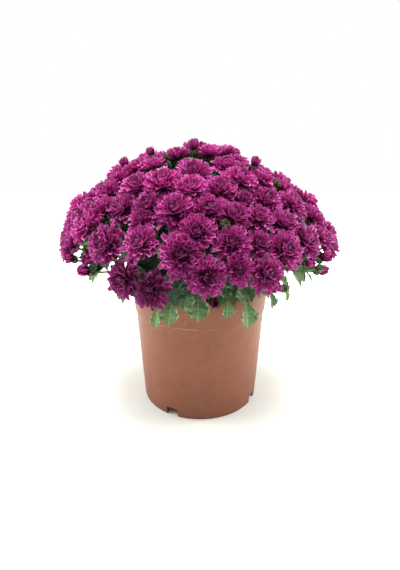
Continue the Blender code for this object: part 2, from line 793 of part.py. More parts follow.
def make_plants(flowers, material, stand):
    """Green parts of each plant: stem, branches, flower stalks, leaves and tight buds in one body."""
    leaves = [[] for _ in range(PLANT_COUNT)]
    for place in leaf_places():
        leaves[plant_of(place.bearing)].append(place)
    for plant in range(PLANT_COUNT):
        solids, joints = plant_skeleton(plant)
        members = [flower for flower in flowers if flower.plant == plant]
        for flower, joint in zip(members, choose_joints(members, joints)):
            solids.append(flower_stalk(flower, joint))
        for place in leaves[plant]:
            joint = min(joints, key=lambda point: (point - place.root).length)
            solids.append(leaf(place, joint))
        mesh = dissolve_flat(boolean(solids[0], solids[1:], "UNION"))
        add_object(f"plant_{plant + 1}", mesh, material, stand)


def make_blooms(flowers, petal_material, bud_material, stand):
    """Petals of every cluster of blooms and of every opening bud."""
    for number, group in enumerate(group_blooms(flowers), start=1):
        members = [flowers[index] for index, _ in group]
        solids = []
        for index, host in group:
            planes = bounds_between(flowers[index], flowers, members)
            solids.append(rosette(flowers[index], planes, None if host is None else flowers[host]))
        mesh = boolean(solids[0], solids[1:], "UNION") if len(solids) > 1 else solids[0]
        add_object(f"blooms_{number:02d}", mesh, petal_material, stand)
    buds = [flower for flower in flowers if flower.kind == "bud"]
    for number, flower in enumerate(buds, start=1):
        mesh = bud_petals(flower, bounds_between(flower, flowers, []))
        add_object(f"bud_{number:02d}", mesh, bud_material, stand)


def centre_footprint(stand):
    """Move the stand point so that the middle of the whole footprint is at the origin."""
    corners = [
        vertex.co for piece in stand.children for vertex in piece.data.vertices
    ]
    for axis in (0, 1):
        low = min(corner[axis] for corner in corners)
        high = max(corner[axis] for corner in corners)
        stand.location[axis] = -(low + high) / 2


def main():
    for piece in list(bpy.data.objects):
        bpy.data.objects.remove(piece)
    stand = bpy.data.objects.new("stand_point", None)
    bpy.context.scene.collection.objects.link(stand)
    finishes = {name: make_material(name) for name in COLOURS}
    pot = make_pot()
    pot.shade_smooth()
    pot.set_sharp_from_angle(angle=math.radians(30))
    add_object("pot", pot, finishes["pot"], stand)
    add_object("soil", make_soil(random.Random(SEED)), finishes["soil"], stand)
    flowers = lay_out(random.Random(SEED))
    make_plants(flowers, finishes["leaf"], stand)
    make_blooms(flowers, finishes["petal"], finishes["bud"], stand)
    centre_footprint(stand)


main()
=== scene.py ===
"""Looks of the pot chrysanthemum: petals, bracts, leaves, stems, pot, soil, floor, light and camera.

Units are metres and +Z is up. A bearing is measured round the pot's axis, from the front (-Y) towards the
right (+X). A climb is measured up the dome of blooms, from its widest level (0) to its top (90 degrees).
"""

from __future__ import annotations

import logging
import math
import random
from dataclasses import asdict, dataclass, field, replace
from enum import Enum
from typing import Any, Iterable, Iterator, Sequence, Union

import bpy
import numpy as np
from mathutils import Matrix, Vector


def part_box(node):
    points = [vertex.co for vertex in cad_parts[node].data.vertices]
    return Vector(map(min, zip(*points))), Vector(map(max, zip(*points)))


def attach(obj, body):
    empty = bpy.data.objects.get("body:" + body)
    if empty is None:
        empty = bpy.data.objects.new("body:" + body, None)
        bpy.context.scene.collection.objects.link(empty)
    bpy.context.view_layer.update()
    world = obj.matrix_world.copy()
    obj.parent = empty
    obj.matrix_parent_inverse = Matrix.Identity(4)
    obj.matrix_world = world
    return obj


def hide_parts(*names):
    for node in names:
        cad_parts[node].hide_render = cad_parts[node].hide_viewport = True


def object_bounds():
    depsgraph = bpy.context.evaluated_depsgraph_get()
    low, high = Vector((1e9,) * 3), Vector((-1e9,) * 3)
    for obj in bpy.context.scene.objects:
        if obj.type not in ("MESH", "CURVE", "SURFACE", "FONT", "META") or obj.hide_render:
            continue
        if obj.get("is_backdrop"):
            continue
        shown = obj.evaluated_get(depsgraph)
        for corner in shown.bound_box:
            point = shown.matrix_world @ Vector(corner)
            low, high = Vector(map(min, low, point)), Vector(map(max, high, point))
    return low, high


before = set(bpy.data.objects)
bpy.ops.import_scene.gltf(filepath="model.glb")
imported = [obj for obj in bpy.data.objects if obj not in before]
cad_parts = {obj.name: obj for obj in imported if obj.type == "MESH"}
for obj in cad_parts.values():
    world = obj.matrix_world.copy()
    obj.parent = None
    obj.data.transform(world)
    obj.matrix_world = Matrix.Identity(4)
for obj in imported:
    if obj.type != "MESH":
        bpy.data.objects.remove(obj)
CAD_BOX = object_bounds()
LOG = logging.getLogger("pot_chrysanthemum")

MM = 0.001
SEED = 13
GOLDEN_ANGLE = 137.508
UP = Vector((0, 0, 1))
WHOLE_NUMBERS = ("rows", "columns", "Seed", "Sides", "Steps")
ANGLES = ("outer_angle", "inner_angle", "outer_curl", "inner_curl", "angle_spread", "roll_spread")
Span = tuple[float, float]
Colour = tuple[float, float, float, float]
Outline = list[tuple[float, float]]
LeafPlace = tuple[float, Vector, float, float, float, float]


# Node trees

@dataclass(frozen=True)
class Field:
    """Value in a node tree; its arithmetic adds the math nodes."""

    sheet: Sheet
    socket: bpy.types.NodeSocket

    def other(self, name: str) -> Field:
        """Another output of the same node."""
        return Field(self.sheet, self.socket.node.outputs[name])

    def pair(self, operation: str, other: Value) -> Field:
        """Math node of this value and another, on vectors where this is one."""
        kind = "ShaderNodeVectorMath" if self.socket.type == "VECTOR" else "ShaderNodeMath"
        return self.sheet.add(kind, {0: self, 1: other}, operation=operation)

    def math(self, operation: str) -> Field:
        """Math node of this value alone."""
        return self.sheet.add("ShaderNodeMath", {0: self}, operation=operation)

    def __add__(self, other: Value) -> Field:
        """Sum."""
        return self.pair("ADD", other)

    def __sub__(self, other: Value) -> Field:
        """Difference."""
        return self.pair("SUBTRACT", other)

    def scaled(self, share: Value) -> Field:
        """Vector times a number."""
        return self.sheet.add("ShaderNodeVectorMath", {0: self, "Scale": share}, operation="SCALE")

    def __mul__(self, other: Value) -> Field:
        """Product; a vector is scaled by a number."""
        return self.scaled(other) if self.socket.type == "VECTOR" else self.pair("MULTIPLY", other)

    def __truediv__(self, other: Value) -> Field:
        """Quotient."""
        return self.pair("DIVIDE", other)

    def __pow__(self, other: Value) -> Field:
        """Power."""
        return self.pair("POWER", other)

    def __radd__(self, other: float) -> Field:
        """Sum with a plain number first."""
        return self + other

    def __rmul__(self, other: float) -> Field:
        """Product with a plain number first."""
        return self * other

    def __rsub__(self, other: float) -> Field:
        """Difference from a plain number."""
        return self.sheet.add("ShaderNodeMath", {0: other, 1: self}, operation="SUBTRACT")

    def sine(self) -> Field:
        """Sine of an angle in radians."""
        return self.math("SINE")

    def cosine(self) -> Field:
        """Cosine of an angle in radians."""
        return self.math("COSINE")

    def size(self) -> Field:
        """Value without its sign."""
        return self.math("ABSOLUTE")

    def towards(self, other: Value, share: Value) -> Field:
        """Value that goes from this one to another by a share."""
        return self + (other - self) * share

    def between(self, low: Value, high: Value) -> Field:
        """Smooth rise from 0 where this value is low to 1 where it is high."""
        values = {0: self, 1: low, 2: high, 3: 0.0, 4: 1.0}
        return self.sheet.add("ShaderNodeMapRange", values, interpolation_type="SMOOTHSTEP")


Value = Union[Field, float, int, bool, str, Sequence[float], bpy.types.Material]


@dataclass(frozen=True)
class Sheet:
    """Node tree that is being written."""

    tree: bpy.types.NodeTree

    def fill(self, node: bpy.types.Node, values: dict[Any, Value]) -> None:
        """Link or set inputs of a node.

        Args:
            node: The node.
            values: Value for each input that is set, by its name or number.
        """
        for name, value in values.items():
            if isinstance(value, Field):
                self.tree.links.new(value.socket, node.inputs[name])
            else:
                node.inputs[name].default_value = value

    def add(self, kind: str, values: dict[Any, Value] | None = None, out: Any = 0, **settings: Any) -> Field:
        """Add one node.

        Args:
            kind: Type of the node.
            values: Value for each input that is set, by its name or number.
            out: Name or number of the output that is wanted.
            settings: The node's own settings.

        Returns:
            The wanted output.
        """
        node = self.tree.nodes.new(kind)
        for name, setting in settings.items():
            setattr(node, name, setting)
        self.fill(node, values or {})
        return Field(self, (node.outputs or node.inputs)[out])

    def kept(self, name: str, kind: str = "FLOAT") -> Field:
        """Attribute that the geometry holds, in a geometry tree."""
        return self.add("GeometryNodeInputNamedAttribute", {"Name": name}, data_type=kind)

    def keep(self, shape: Field, name: str, value: Value, kind: str = "FLOAT") -> Field:
        """Geometry with a value stored on its points under a name."""
        values = {"Geometry": shape, "Name": name, "Value": value}
        return self.add("GeometryNodeStoreNamedAttribute", values, data_type=kind, domain="POINT")

    def chance(self, seed: Field, salt: int) -> Field:
        """Chance value from -1 to 1 for each point, from a fixed seed."""
        values = {2: -1.0, 3: 1.0, "Seed": seed + salt}
        return self.add("FunctionNodeRandomValue", values, out=1, data_type="FLOAT")

    def painted(self, name: str) -> Field:
        """Attribute that the mesh holds, in a shader tree."""
        return self.add("ShaderNodeAttribute", out="Fac", attribute_name=name)

    def mix(self, share: Value, first: Value, second: Value) -> Field:
        """Colour between two by a share."""
        return self.add("ShaderNodeMix", {0: share, 6: first, 7: second}, out=2, data_type="RGBA")

    def shaded(self, colour: Value, share: Value) -> Field:
        """Colour multiplied by a brightness."""
        values = {0: 1.0, 6: colour, 7: self.add("ShaderNodeCombineColor", dict.fromkeys(range(3), share))}
        return self.add("ShaderNodeMix", values, out=2, data_type="RGBA", blend_type="MULTIPLY")


def new_tree(
    name: str, kind: str, inputs: dict[str, str], outputs: dict[str, str]
) -> tuple[Sheet, dict[str, Field]]:
    """Start a node group.

    Args:
        name: Name of the group.
        kind: Type of the tree, of geometry or of a shader.
        inputs: Socket type of each named input.
        outputs: Socket type of each named output.

    Returns:
        The open tree and its inputs as fields.
    """
    tree = bpy.data.node_groups.new(name, kind)
    for way, sockets in (("INPUT", inputs), ("OUTPUT", outputs)):
        for label, socket in sockets.items():
            tree.interface.new_socket(name=label, in_out=way, socket_type="NodeSocket" + socket)
    sheet = Sheet(tree)
    entry = tree.nodes.new("NodeGroupInput")
    return sheet, {label: Field(sheet, entry.outputs[label]) for label in inputs}


def new_geometry(name: str, labels: Iterable[str]) -> tuple[Sheet, dict[str, Field]]:
    """Start a geometry tree that takes a mesh, numbers and a material.

    Args:
        name: Name of the tree.
        labels: Names of the number inputs.

    Returns:
        The open tree and its inputs as fields.
    """
    numbers = {label: "Int" if label in WHOLE_NUMBERS else "Float" for label in labels}
    inputs = {"Geometry": "Geometry", **numbers, "Material": "Material"}
    return new_tree(name, "GeometryNodeTree", inputs, {"Geometry": "Geometry"})


def end_geometry(sheet: Sheet, shape: Field, material: Field) -> bpy.types.NodeTree:
    """Close a geometry tree with smooth faces, real copies and the material.

    Args:
        sheet: The open tree.
        shape: Geometry to put out.
        material: Material input.

    Returns:
        The finished tree.
    """
    smooth = sheet.add("GeometryNodeSetShadeSmooth", {"Geometry": shape})
    real = sheet.add("GeometryNodeRealizeInstances", {"Geometry": smooth})
    dressed = sheet.add("GeometryNodeSetMaterial", {"Geometry": real, "Material": material})
    sheet.add("NodeGroupOutput", {0: dressed})
    return sheet.tree


def copies_of_grid(sheet: Sheet, points: Field, rows: Value, columns: Value) -> Field:
    """One small grid on each point, as real faces that keep the point's attributes.

    Args:
        sheet: The open tree.
        points: Points that carry the attributes.
        rows: Number of points along each grid.
        columns: Number of points across it.

    Returns:
        Faces with `run` from 0 to 1 along each grid and `across` from -1 to 1 over it.
    """
    sizes = {"Size X": 1.0, "Size Y": 1.0, "Vertices X": columns, "Vertices Y": rows}
    grid = sheet.add("GeometryNodeMeshGrid", sizes)
    place = sheet.add("ShaderNodeSeparateXYZ", {0: sheet.add("GeometryNodeInputPosition")})
    grid = sheet.keep(grid, "across", place * 2.0)
    grid = sheet.keep(grid, "run", place.other("Y") + 0.5)
    placed = sheet.add("GeometryNodeInstanceOnPoints", {"Points": points, "Instance": grid})
    return sheet.add("GeometryNodeRealizeInstances", {"Geometry": placed})


@dataclass(frozen=True)
class RosetteShape:
    """Shape of a rosette, from its outer petals to its inner ones; lengths are shares of its radius."""

    outer_length: float = 1.0
    inner_length: float = 0.46
    outer_angle: float = 6
    inner_angle: float = 86
    outer_curl: float = -20
    inner_curl: float = 58
    outer_width: float = 0.28
    inner_width: float = 0.18
    widest: float = 0.76
    neck: float = 0.4
    blunt: float = 0.7
    root_ring: float = 0.14
    root_rise: float = 0.28
    channel: float = 0.45
    angle_spread: float = 11
    length_spread: float = 0.13
    roll_spread: float = 26
    rows: int = 7
    columns: int = 4

    def inputs(self) -> dict[str, float | int]:
        """Values by the tree's input names, with angles in radians."""
        return asdict(self) | {name: math.radians(getattr(self, name)) for name in ANGLES}


# Rosettes: how much a petal's rows crowd towards its tip, sway of the spiral's turns, how fast petals rise
# and shorten inwards, and the least curl of an arc
ROW_CROWDING = 0.4
TURN_SPREAD = 0.12
RISE_POWER = 1.2
SHORTENING_POWER = 0.9
LEAST_CURL = 0.013


def rosette_tree() -> bpy.types.NodeTree:
    """Tree that grows every petal or bract round its flower in a golden-angle spiral.

    Each point holds the flower's facing, aside, radius, closed angle, number of petals and shade. Petal 0 is
    the outermost. A petal leaves the flower's seat at an angle and bends along an arc, in a plane through the
    axis.

    Returns:
        The geometry tree.
    """
    sheet, given = new_geometry("Rosette of petals", [*asdict(RosetteShape()), "Seed"])
    values = {"Geometry": given["Geometry"], "Amount": sheet.kept("petals", "INT")}
    many = sheet.add("GeometryNodeDuplicateElements", values, domain="POINT")
    rank = many.other("Duplicate Index")
    shape = sheet.keep(many, "layer", rank / (sheet.kept("petals", "INT") - 1))
    sway = sheet.chance(given["Seed"], 1) * TURN_SPREAD
    shape = sheet.keep(shape, "turn", rank * math.radians(GOLDEN_ANGLE) + sway)
    for salt, name in enumerate(("angle_chance", "length_chance", "roll_chance", "tone"), start=2):
        shape = sheet.keep(shape, name, sheet.chance(given["Seed"], salt))
    shape = copies_of_grid(sheet, shape, given["rows"], given["columns"])

    run, across, layer, radius, turn = map(sheet.kept, ("run", "across", "layer", "radius", "turn"))
    along = run * (1.0 + ROW_CROWDING - run * ROW_CROWDING)
    facing = sheet.kept("facing", "FLOAT_VECTOR")
    aside = sheet.kept("aside", "FLOAT_VECTOR")
    third = facing.pair("CROSS_PRODUCT", aside)
    out = aside * turn.cosine() + third * turn.sine()
    side = facing.pair("CROSS_PRODUCT", out)

    start = given["outer_angle"] + sheet.kept("closed")
    start = start.towards(given["inner_angle"], layer ** RISE_POWER)
    start = start + sheet.kept("angle_chance") * given["angle_spread"]
    curl = given["outer_curl"].towards(given["inner_curl"], layer) + LEAST_CURL
    bent = start + curl * along
    length = given["outer_length"].towards(given["inner_length"], layer ** SHORTENING_POWER)
    length = length * radius * (1.0 + sheet.kept("length_chance") * given["length_spread"])
    ring = radius * given["root_ring"] * (1.0 - layer) ** 0.5
    reach = ring + length * (bent.sine() - start.sine()) / curl
    height = radius * given["root_rise"] * layer + length * (start.cosine() - bent.cosine()) / curl

    widest = given["widest"]
    swell = (along / widest).pair("MINIMUM", 1.0) * (math.pi / 2)
    past = (along - widest).pair("MAXIMUM", 0.0) / (1.0 - widest)
    tip = (1.0 - past * past).pair("MAXIMUM", 0.0) ** 0.5
    profile = given["neck"].towards(1.0, swell.sine()) * tip.pair("MAXIMUM", given["blunt"])
    half = profile * radius * given["outer_width"].towards(given["inner_width"], layer) * 0.5
    roll = sheet.kept("roll_chance") * given["roll_spread"]
    lift = facing * bent.cosine() - out * bent.sine()
    broad = side * roll.cosine() + lift * roll.sine()
    high = lift * roll.cosine() - side * roll.sine()
    place = sheet.kept("base", "FLOAT_VECTOR") + out * reach + facing * height + broad * (across * half)
    place = place + high * (across * across * half * given["channel"] * 2.0)
    shape = sheet.add("GeometryNodeSetPosition", {"Geometry": shape, "Position": place})
    shape = sheet.keep(shape, "along", along)
    return end_geometry(sheet, shape, given["Material"])


@dataclass(frozen=True)
class LeafShape:
    """Shape of the lobed leaves; lengths are shares of a leaf's own length or width."""

    stalk: float = 0.14
    stalk_width: float = 0.055
    widest: float = 0.55
    end_width: float = 0.8
    lobe_pitch: float = 0.3
    first_notch: float = 0.4
    notch_depth: float = 0.3
    notch_end: float = 0.85
    finger_depth: float = 0.13
    end_round: float = 0.28
    teeth: float = 0.03
    forward: float = 0.34
    fold: float = 0.22
    ripple: float = 0.1
    rows: int = 23
    columns: int = 13


# Leaves: waves of the margin's teeth and of the ripple, fingers at the end, and powers that shape the lobes
TOOTH_WAVES = 52.0
RIPPLE_WAVES = 17.0
FINGER_WAVES = 3.0
NOTCH_POWER = 3.0
NOTCH_FADE = 0.1
LOBE_POWER = 1.6


def leaf_tree() -> bpy.types.NodeTree:
    """Tree that unrolls a lobed, folded and rippled leaf from each point along its droop.

    Each point holds the leaf's ahead and lift directions, length, width, droop, phase and shade.

    Returns:
        The geometry tree.
    """
    sheet, given = new_geometry("Lobed leaves", [*asdict(LeafShape()), "Seed"])
    shape = sheet.keep(given["Geometry"], "tone", sheet.chance(given["Seed"], 1))
    shape = copies_of_grid(sheet, shape, given["rows"], given["columns"])

    run, across, phase = map(sheet.kept, ("run", "across", "phase"))
    ahead = sheet.kept("ahead", "FLOAT_VECTOR")
    lift = sheet.kept("lift", "FLOAT_VECTOR")
    side = ahead.pair("CROSS_PRODUCT", lift)
    stalk = given["stalk"]
    blade = ((run - stalk) / (1.0 - stalk)).pair("MAXIMUM", 0.0)
    widest = given["widest"]
    swell = ((blade / widest).pair("MINIMUM", 1.0) * (math.pi / 2)).sine()
    past = (blade - widest).pair("MAXIMUM", 0.0) / (1.0 - widest)
    envelope = swell * (1.0 - past * past * (1.0 - given["end_width"]))
    wave = ((blade - given["first_notch"]) / given["lobe_pitch"] * math.tau).cosine()
    whole = blade.between(given["notch_end"] - NOTCH_FADE, given["notch_end"])
    notch = (0.5 + wave * 0.5) ** NOTCH_POWER * (1.0 - whole)
    teeth = 1.0 + (blade * TOOTH_WAVES + phase).sine() * given["teeth"]
    half = envelope * (1.0 - notch * given["notch_depth"]) * teeth * 0.5
    half = half.pair("MAXIMUM", given["stalk_width"] * 0.5) * sheet.kept("width")
    reach = run + across.size() ** LOBE_POWER * envelope * given["forward"] * (1.0 - blade)
    fingers = (0.5 - (across * (FINGER_WAVES * math.pi)).cosine() * 0.5) ** 2.0
    reach = reach - blade * blade * (fingers * given["finger_depth"] + across * across * given["end_round"])
    curl = sheet.kept("droop")
    bent = curl * reach
    length = sheet.kept("length")
    spine = ahead * (bent.sine() / curl) - lift * ((1.0 - bent.cosine()) / curl)
    high = lift * bent.cosine() + ahead * bent.sine()
    swing = (blade * RIPPLE_WAVES + phase + across).sine() * across * across * given["ripple"]
    raised = half * (across.size() * given["fold"] * 2.0 + swing)
    place = sheet.kept("base", "FLOAT_VECTOR") + spine * length + side * (across * half) + high * raised
    shape = sheet.add("GeometryNodeSetPosition", {"Geometry": shape, "Position": place})
    shape = sheet.keep(shape, "along", blade)
    return end_geometry(sheet, shape, given["Material"])


def stem_tree() -> bpy.types.NodeTree:
    """Tree that sweeps a round stem along each line of points, as thick as the points say.

    Returns:
        The geometry tree.
    """
    sheet, given = new_geometry("Round stems", ("Sides", "Steps"))
    line = sheet.add("GeometryNodeMeshToCurve", {"Mesh": given["Geometry"]})
    line = sheet.add("GeometryNodeCurveSplineType", {"Curve": line}, spline_type="CATMULL_ROM")
    line = sheet.add("GeometryNodeSetSplineResolution", {"Geometry": line, "Resolution": given["Steps"]})
    ring = sheet.add("GeometryNodeCurvePrimitiveCircle", {"Resolution": given["Sides"], "Radius": 1.0})
    values = {"Curve": line, "Profile Curve": ring, "Scale": sheet.kept("thick"), "Fill Caps": True}
    shape = sheet.add("GeometryNodeCurveToMesh", values)
    return end_geometry(sheet, shape, given["Material"])


# Crumbs: smallest and largest stretch of one along its axes, and the widest turn of one in radians
LEAST_CRUMB = (0.35, 0.35, 0.3)
LARGEST_CRUMB = (1.5, 1.2, 1.0)
CRUMB_TURN = (6.28, 6.28, 6.28)


def crumb_tree() -> bpy.types.NodeTree:
    """Tree that scatters small crumbs of soil over a surface.

    Returns:
        The geometry tree.
    """
    sheet, given = new_geometry("Soil crumbs", ("Density", "Crumb radius", "Seed"))
    values = {"Mesh": given["Geometry"], "Density": given["Density"], "Seed": given["Seed"]}
    points = sheet.add("GeometryNodeDistributePointsOnFaces", values)
    crumb = sheet.add("GeometryNodeMeshIcoSphere", {"Radius": given["Crumb radius"], "Subdivisions": 1})
    turn = {0: (0.0, 0.0, 0.0), 1: CRUMB_TURN, "Seed": given["Seed"]}
    size = {0: LEAST_CRUMB, 1: LARGEST_CRUMB, "Seed": given["Seed"] + 3}
    values = {
        "Points": points,
        "Instance": crumb,
        "Rotation": sheet.add("FunctionNodeRandomValue", turn, data_type="FLOAT_VECTOR"),
        "Scale": sheet.add("FunctionNodeRandomValue", size, data_type="FLOAT_VECTOR"),
    }
    placed = sheet.add("GeometryNodeInstanceOnPoints", values)
    return end_geometry(sheet, placed, given["Material"])


# Finishes

# Mottling: share of the coarse blotches, how much finer the grain is, and the span that the mask widens
COARSE_SHARE = 0.6
GRAIN_FINENESS = 6.0
MASK_SPAN = (0.32, 0.68)


def mottling_group() -> bpy.types.NodeTree:
    """Shader group of fine and coarse blotches on Object coordinates, shared by all finishes.

    Returns:
        The group, with the inputs Scale and Stretch and the outputs Mask and Grain, both from 0 to 1.
    """
    inputs, outputs = dict.fromkeys(("Scale", "Stretch"), "Float"), dict.fromkeys(("Mask", "Grain"), "Float")
    sheet, given = new_tree("Fine mottling", "ShaderNodeTree", inputs, outputs)
    stretch = sheet.add("ShaderNodeCombineXYZ", {0: 1.0, 1: 1.0, 2: given["Stretch"]})
    spot = sheet.add("ShaderNodeTexCoord", out="Object").pair("MULTIPLY", stretch)
    coarse = sheet.add("ShaderNodeTexNoise", {"Vector": spot, "Scale": given["Scale"], "Detail": 3.0})
    values = {"Vector": spot, "Scale": given["Scale"] * GRAIN_FINENESS, "Detail": 2.0}
    fine = sheet.add("ShaderNodeTexNoise", values)
    mask = (coarse * COARSE_SHARE + fine * (1.0 - COARSE_SHARE)).between(*MASK_SPAN)
    sheet.add("NodeGroupOutput", {"Mask": mask, "Grain": fine})
    return sheet.tree


@dataclass(frozen=True)
class Finish:
    """Base of a procedural finish on the Principled shader: two colours blended by blotches."""

    name: str
    deep: Colour = (0.05, 0.1, 0.03, 1)
    body: Colour = (0.16, 0.25, 0.09, 1)
    roughness: float = 0.55
    sheen: float = 0.0
    specular: float = 0.5
    bump_depth: float = 0.2 * MM
    bump_strength: float = 0.7
    mottle_scale: float = 90.0
    mottle_stretch: float = 1.0
    rough_spread: float = 0.16

    def looks(self, sheet: Sheet, mottle: Field) -> dict[str, Value]:
        """Colours, roughness and relief over the surface.

        Args:
            sheet: The material's open tree.
            mottle: Blotches from 0 to 1.

        Returns:
            Values of the shader's inputs by name, and the relief from 0 to 1 as Height.
        """
        colour = sheet.mix(mottle, self.deep, self.body)
        rough = self.roughness - self.rough_spread / 2 + mottle * self.rough_spread
        return {"Base Color": colour, "Height": mottle.other("Grain"), "Roughness": rough}

    def material(self, groups: dict[str, bpy.types.NodeTree]) -> bpy.types.Material:
        """Build the material.

        Args:
            groups: Shared shader groups by name.

        Returns:
            The material.
        """
        material = bpy.data.materials.new(self.name)
        material.use_nodes = True
        sheet = Sheet(material.node_tree)
        shader = sheet.tree.nodes["Principled BSDF"]
        plain = {"Roughness": self.roughness, "Sheen Weight": self.sheen, "Specular IOR Level": self.specular}
        sheet.fill(shader, plain)
        values = {"Scale": self.mottle_scale, "Stretch": self.mottle_stretch}
        looks = self.looks(sheet, sheet.add("ShaderNodeGroup", values, node_tree=groups["mottling"]))
        bump = {"Height": looks.pop("Height"), "Distance": self.bump_depth, "Strength": self.bump_strength}
        sheet.fill(shader, looks | {"Normal": sheet.add("ShaderNodeBump", bump)})
        return material


@dataclass(frozen=True)
class PetalFinish(Finish):
    """Petals or bracts: deep at the heart, lighter outwards, with pale edges that are partly painted
    highlight, and fine grooves darkened as painted shade.

    A fade is how much of a colour's share is lost on the innermost petal or, for the heart, at the tip.
    Highlight catch is how much of the pale edge, partly a painted highlight, shows on the dullest petal, and
    how much more on the brightest.
    """

    deep: Colour = (0.06, 0.0012, 0.032, 1)
    body: Colour = (0.37, 0.012, 0.19, 1)
    light: Colour = (0.62, 0.045, 0.37, 1)
    # Pale edge colour: partly the petal's own pale rim, partly a painted highlight
    edge: Colour = (0.88, 0.36, 0.68, 1)
    back: Colour = (0.42, 0.03, 0.24, 1)
    edge_share: float = 0.72
    heart_share: float = 0.9
    groove_share: float = 0.22
    back_share: float = 0.45
    body_span: Span = (0.15, 0.8)
    light_span: Span = (0.3, 1.0)
    side_span: Span = (0.7, 1.0)
    tip_span: Span = (0.9, 1.0)
    rim_span: Span = (0.2, 0.8)
    heart_span: Span = (0.5, 0.9)
    heart_end: Span = (0.85, 1.0)
    light_fade: float = 0.7
    edge_fade: float = 0.45
    back_fade: float = 0.8
    heart_fade: float = 0.6
    catch: Span = (0.6, 0.7)
    relief: Span = (0.7, 0.3)
    grooves: float = 3.0
    brightness: float = 0.94
    tone_depth: float = 0.13
    shade_depth: float = 0.18
    mottle_depth: float = 0.1

    def looks(self, sheet: Sheet, mottle: Field) -> dict[str, Value]:
        """Colours and relief of petals.

        Args:
            sheet: The material's open tree.
            mottle: Blotches from 0 to 1.

        Returns:
            Values of the shader's inputs by name, and the relief as Height.
        """
        along, across, layer = (sheet.painted(name) for name in ("along", "across", "layer"))
        colour = sheet.mix(along.between(*self.body_span), self.deep, self.body)
        lit = along.between(*self.light_span) * (1.0 - layer * self.light_fade)
        colour = sheet.mix(lit, colour, self.light)
        # Pale rim at each petal's sides and tip: partly its real pale edge, partly a painted highlight that
        # some petals catch more than others.
        rim = across.size().between(*self.side_span).pair("MAXIMUM", along.between(*self.tip_span))
        catch = self.catch[0] + sheet.painted("tone").between(0.0, 1.0) * self.catch[1]
        rim = rim * along.between(*self.rim_span) * self.edge_share * catch
        colour = sheet.mix(rim * (1.0 - layer * self.edge_fade), colour, self.edge)
        # Painted shade: the deep colour is laid into the fine grooves along each petal, which also give the
        # relief.
        groove = (across * (math.pi * self.grooves)).cosine() * 0.5 + 0.5
        colour = sheet.mix(groove * (1.0 - across.size()) * self.groove_share, colour, self.deep)
        behind = sheet.add("ShaderNodeNewGeometry", out="Backfacing")
        colour = sheet.mix(behind * self.back_share * (1.0 - layer * self.back_fade), colour, self.back)
        heart = layer.between(*self.heart_span) * self.heart_share
        heart = heart * (1.0 - along.between(*self.heart_end) * self.heart_fade)
        colour = sheet.mix(heart, colour, self.deep)
        bright = self.brightness + sheet.painted("tone") * self.tone_depth
        # The shade attribute is each bloom's own tone and, for blooms low on the dome, painted shade.
        bright = bright + sheet.painted("shade") * self.shade_depth + mottle * self.mottle_depth
        height = groove * self.relief[0] + mottle * self.relief[1]
        return {"Base Color": sheet.shaded(colour, bright), "Height": height}


@dataclass(frozen=True)
class LeafFinish(Finish):
    """Leaves: grey-green with lighter veins, a pale thin margin and a paler underside.

    Relief is how deep the veins and the blotches lie.
    """

    deep: Colour = (0.05, 0.115, 0.035, 1)
    body: Colour = (0.135, 0.225, 0.085, 1)
    vein: Colour = (0.27, 0.37, 0.19, 1)
    edge: Colour = (0.36, 0.45, 0.27, 1)
    back: Colour = (0.24, 0.32, 0.18, 1)
    vein_pitch: float = 0.145
    vein_slant: float = 0.2
    vein_span: Span = (0.72, 1.0)
    vein_end: Span = (0.6, 0.95)
    vein_share: float = 0.55
    midrib_span: Span = (0.02, 0.11)
    margin_span: Span = (0.74, 1.0)
    margin_share: float = 0.8
    back_share: float = 0.7
    relief: Span = (0.7, 0.3)
    dullness: Span = (0.5, 0.2)
    brightness: float = 0.92
    tone_depth: float = 0.3
    shade_depth: float = 0.2

    def looks(self, sheet: Sheet, mottle: Field) -> dict[str, Value]:
        """Colours and relief of a leaf.

        Args:
            sheet: The material's open tree.
            mottle: Blotches from 0 to 1.

        Returns:
            Values of the shader's inputs by name, and the relief as Height.
        """
        along, across = sheet.painted("along"), sheet.painted("across").size()
        line = ((along - across * self.vein_slant) / self.vein_pitch).math("FRACT")
        side_vein = ((line - 0.5).size() * 2.0).between(*self.vein_span)
        side_vein = side_vein * (1.0 - across.between(*self.vein_end))
        midrib = 1.0 - across.between(*self.midrib_span)
        veins = side_vein.pair("MAXIMUM", midrib)
        colour = sheet.mix(mottle, self.deep, self.body)
        colour = sheet.mix(veins * self.vein_share, colour, self.vein)
        colour = sheet.mix(across.between(*self.margin_span) * self.margin_share, colour, self.edge)
        behind = sheet.add("ShaderNodeNewGeometry", out="Backfacing")
        colour = sheet.mix(behind * self.back_share, colour, self.back)
        bright = self.brightness + sheet.painted("tone") * self.tone_depth
        bright = bright + sheet.painted("shade") * self.shade_depth
        height = 1.0 - veins * self.relief[0] - mottle * self.relief[1]
        rough = self.dullness[0] + mottle * self.dullness[1]
        return {"Base Color": sheet.shaded(colour, bright), "Height": height, "Roughness": rough}


@dataclass(frozen=True)
class FloorFinish(Finish):
    """Pale floor that brightens into the white background away from the pot."""

    near: float = 0.03
    far: float = 0.34
    glow: float = 0.6

    def looks(self, sheet: Sheet, mottle: Field) -> dict[str, Value]:
        """Colours and relief of the floor.

        Args:
            sheet: The material's open tree.
            mottle: Blotches from 0 to 1.

        Returns:
            Values of the shader's inputs by name, and the relief as Height.
        """
        spot = sheet.add("ShaderNodeTexCoord", out="Object")
        reach = sheet.add("ShaderNodeVectorMath", {0: spot}, "Value", operation="LENGTH")
        seen = sheet.add("ShaderNodeLightPath", out="Is Camera Ray")
        shine = sheet.mix(reach.between(self.near, self.far) * seen, (0, 0, 0, 1), (1, 1, 1, 1))
        return super().looks(sheet, mottle) | {"Emission Color": shine, "Emission Strength": self.glow}


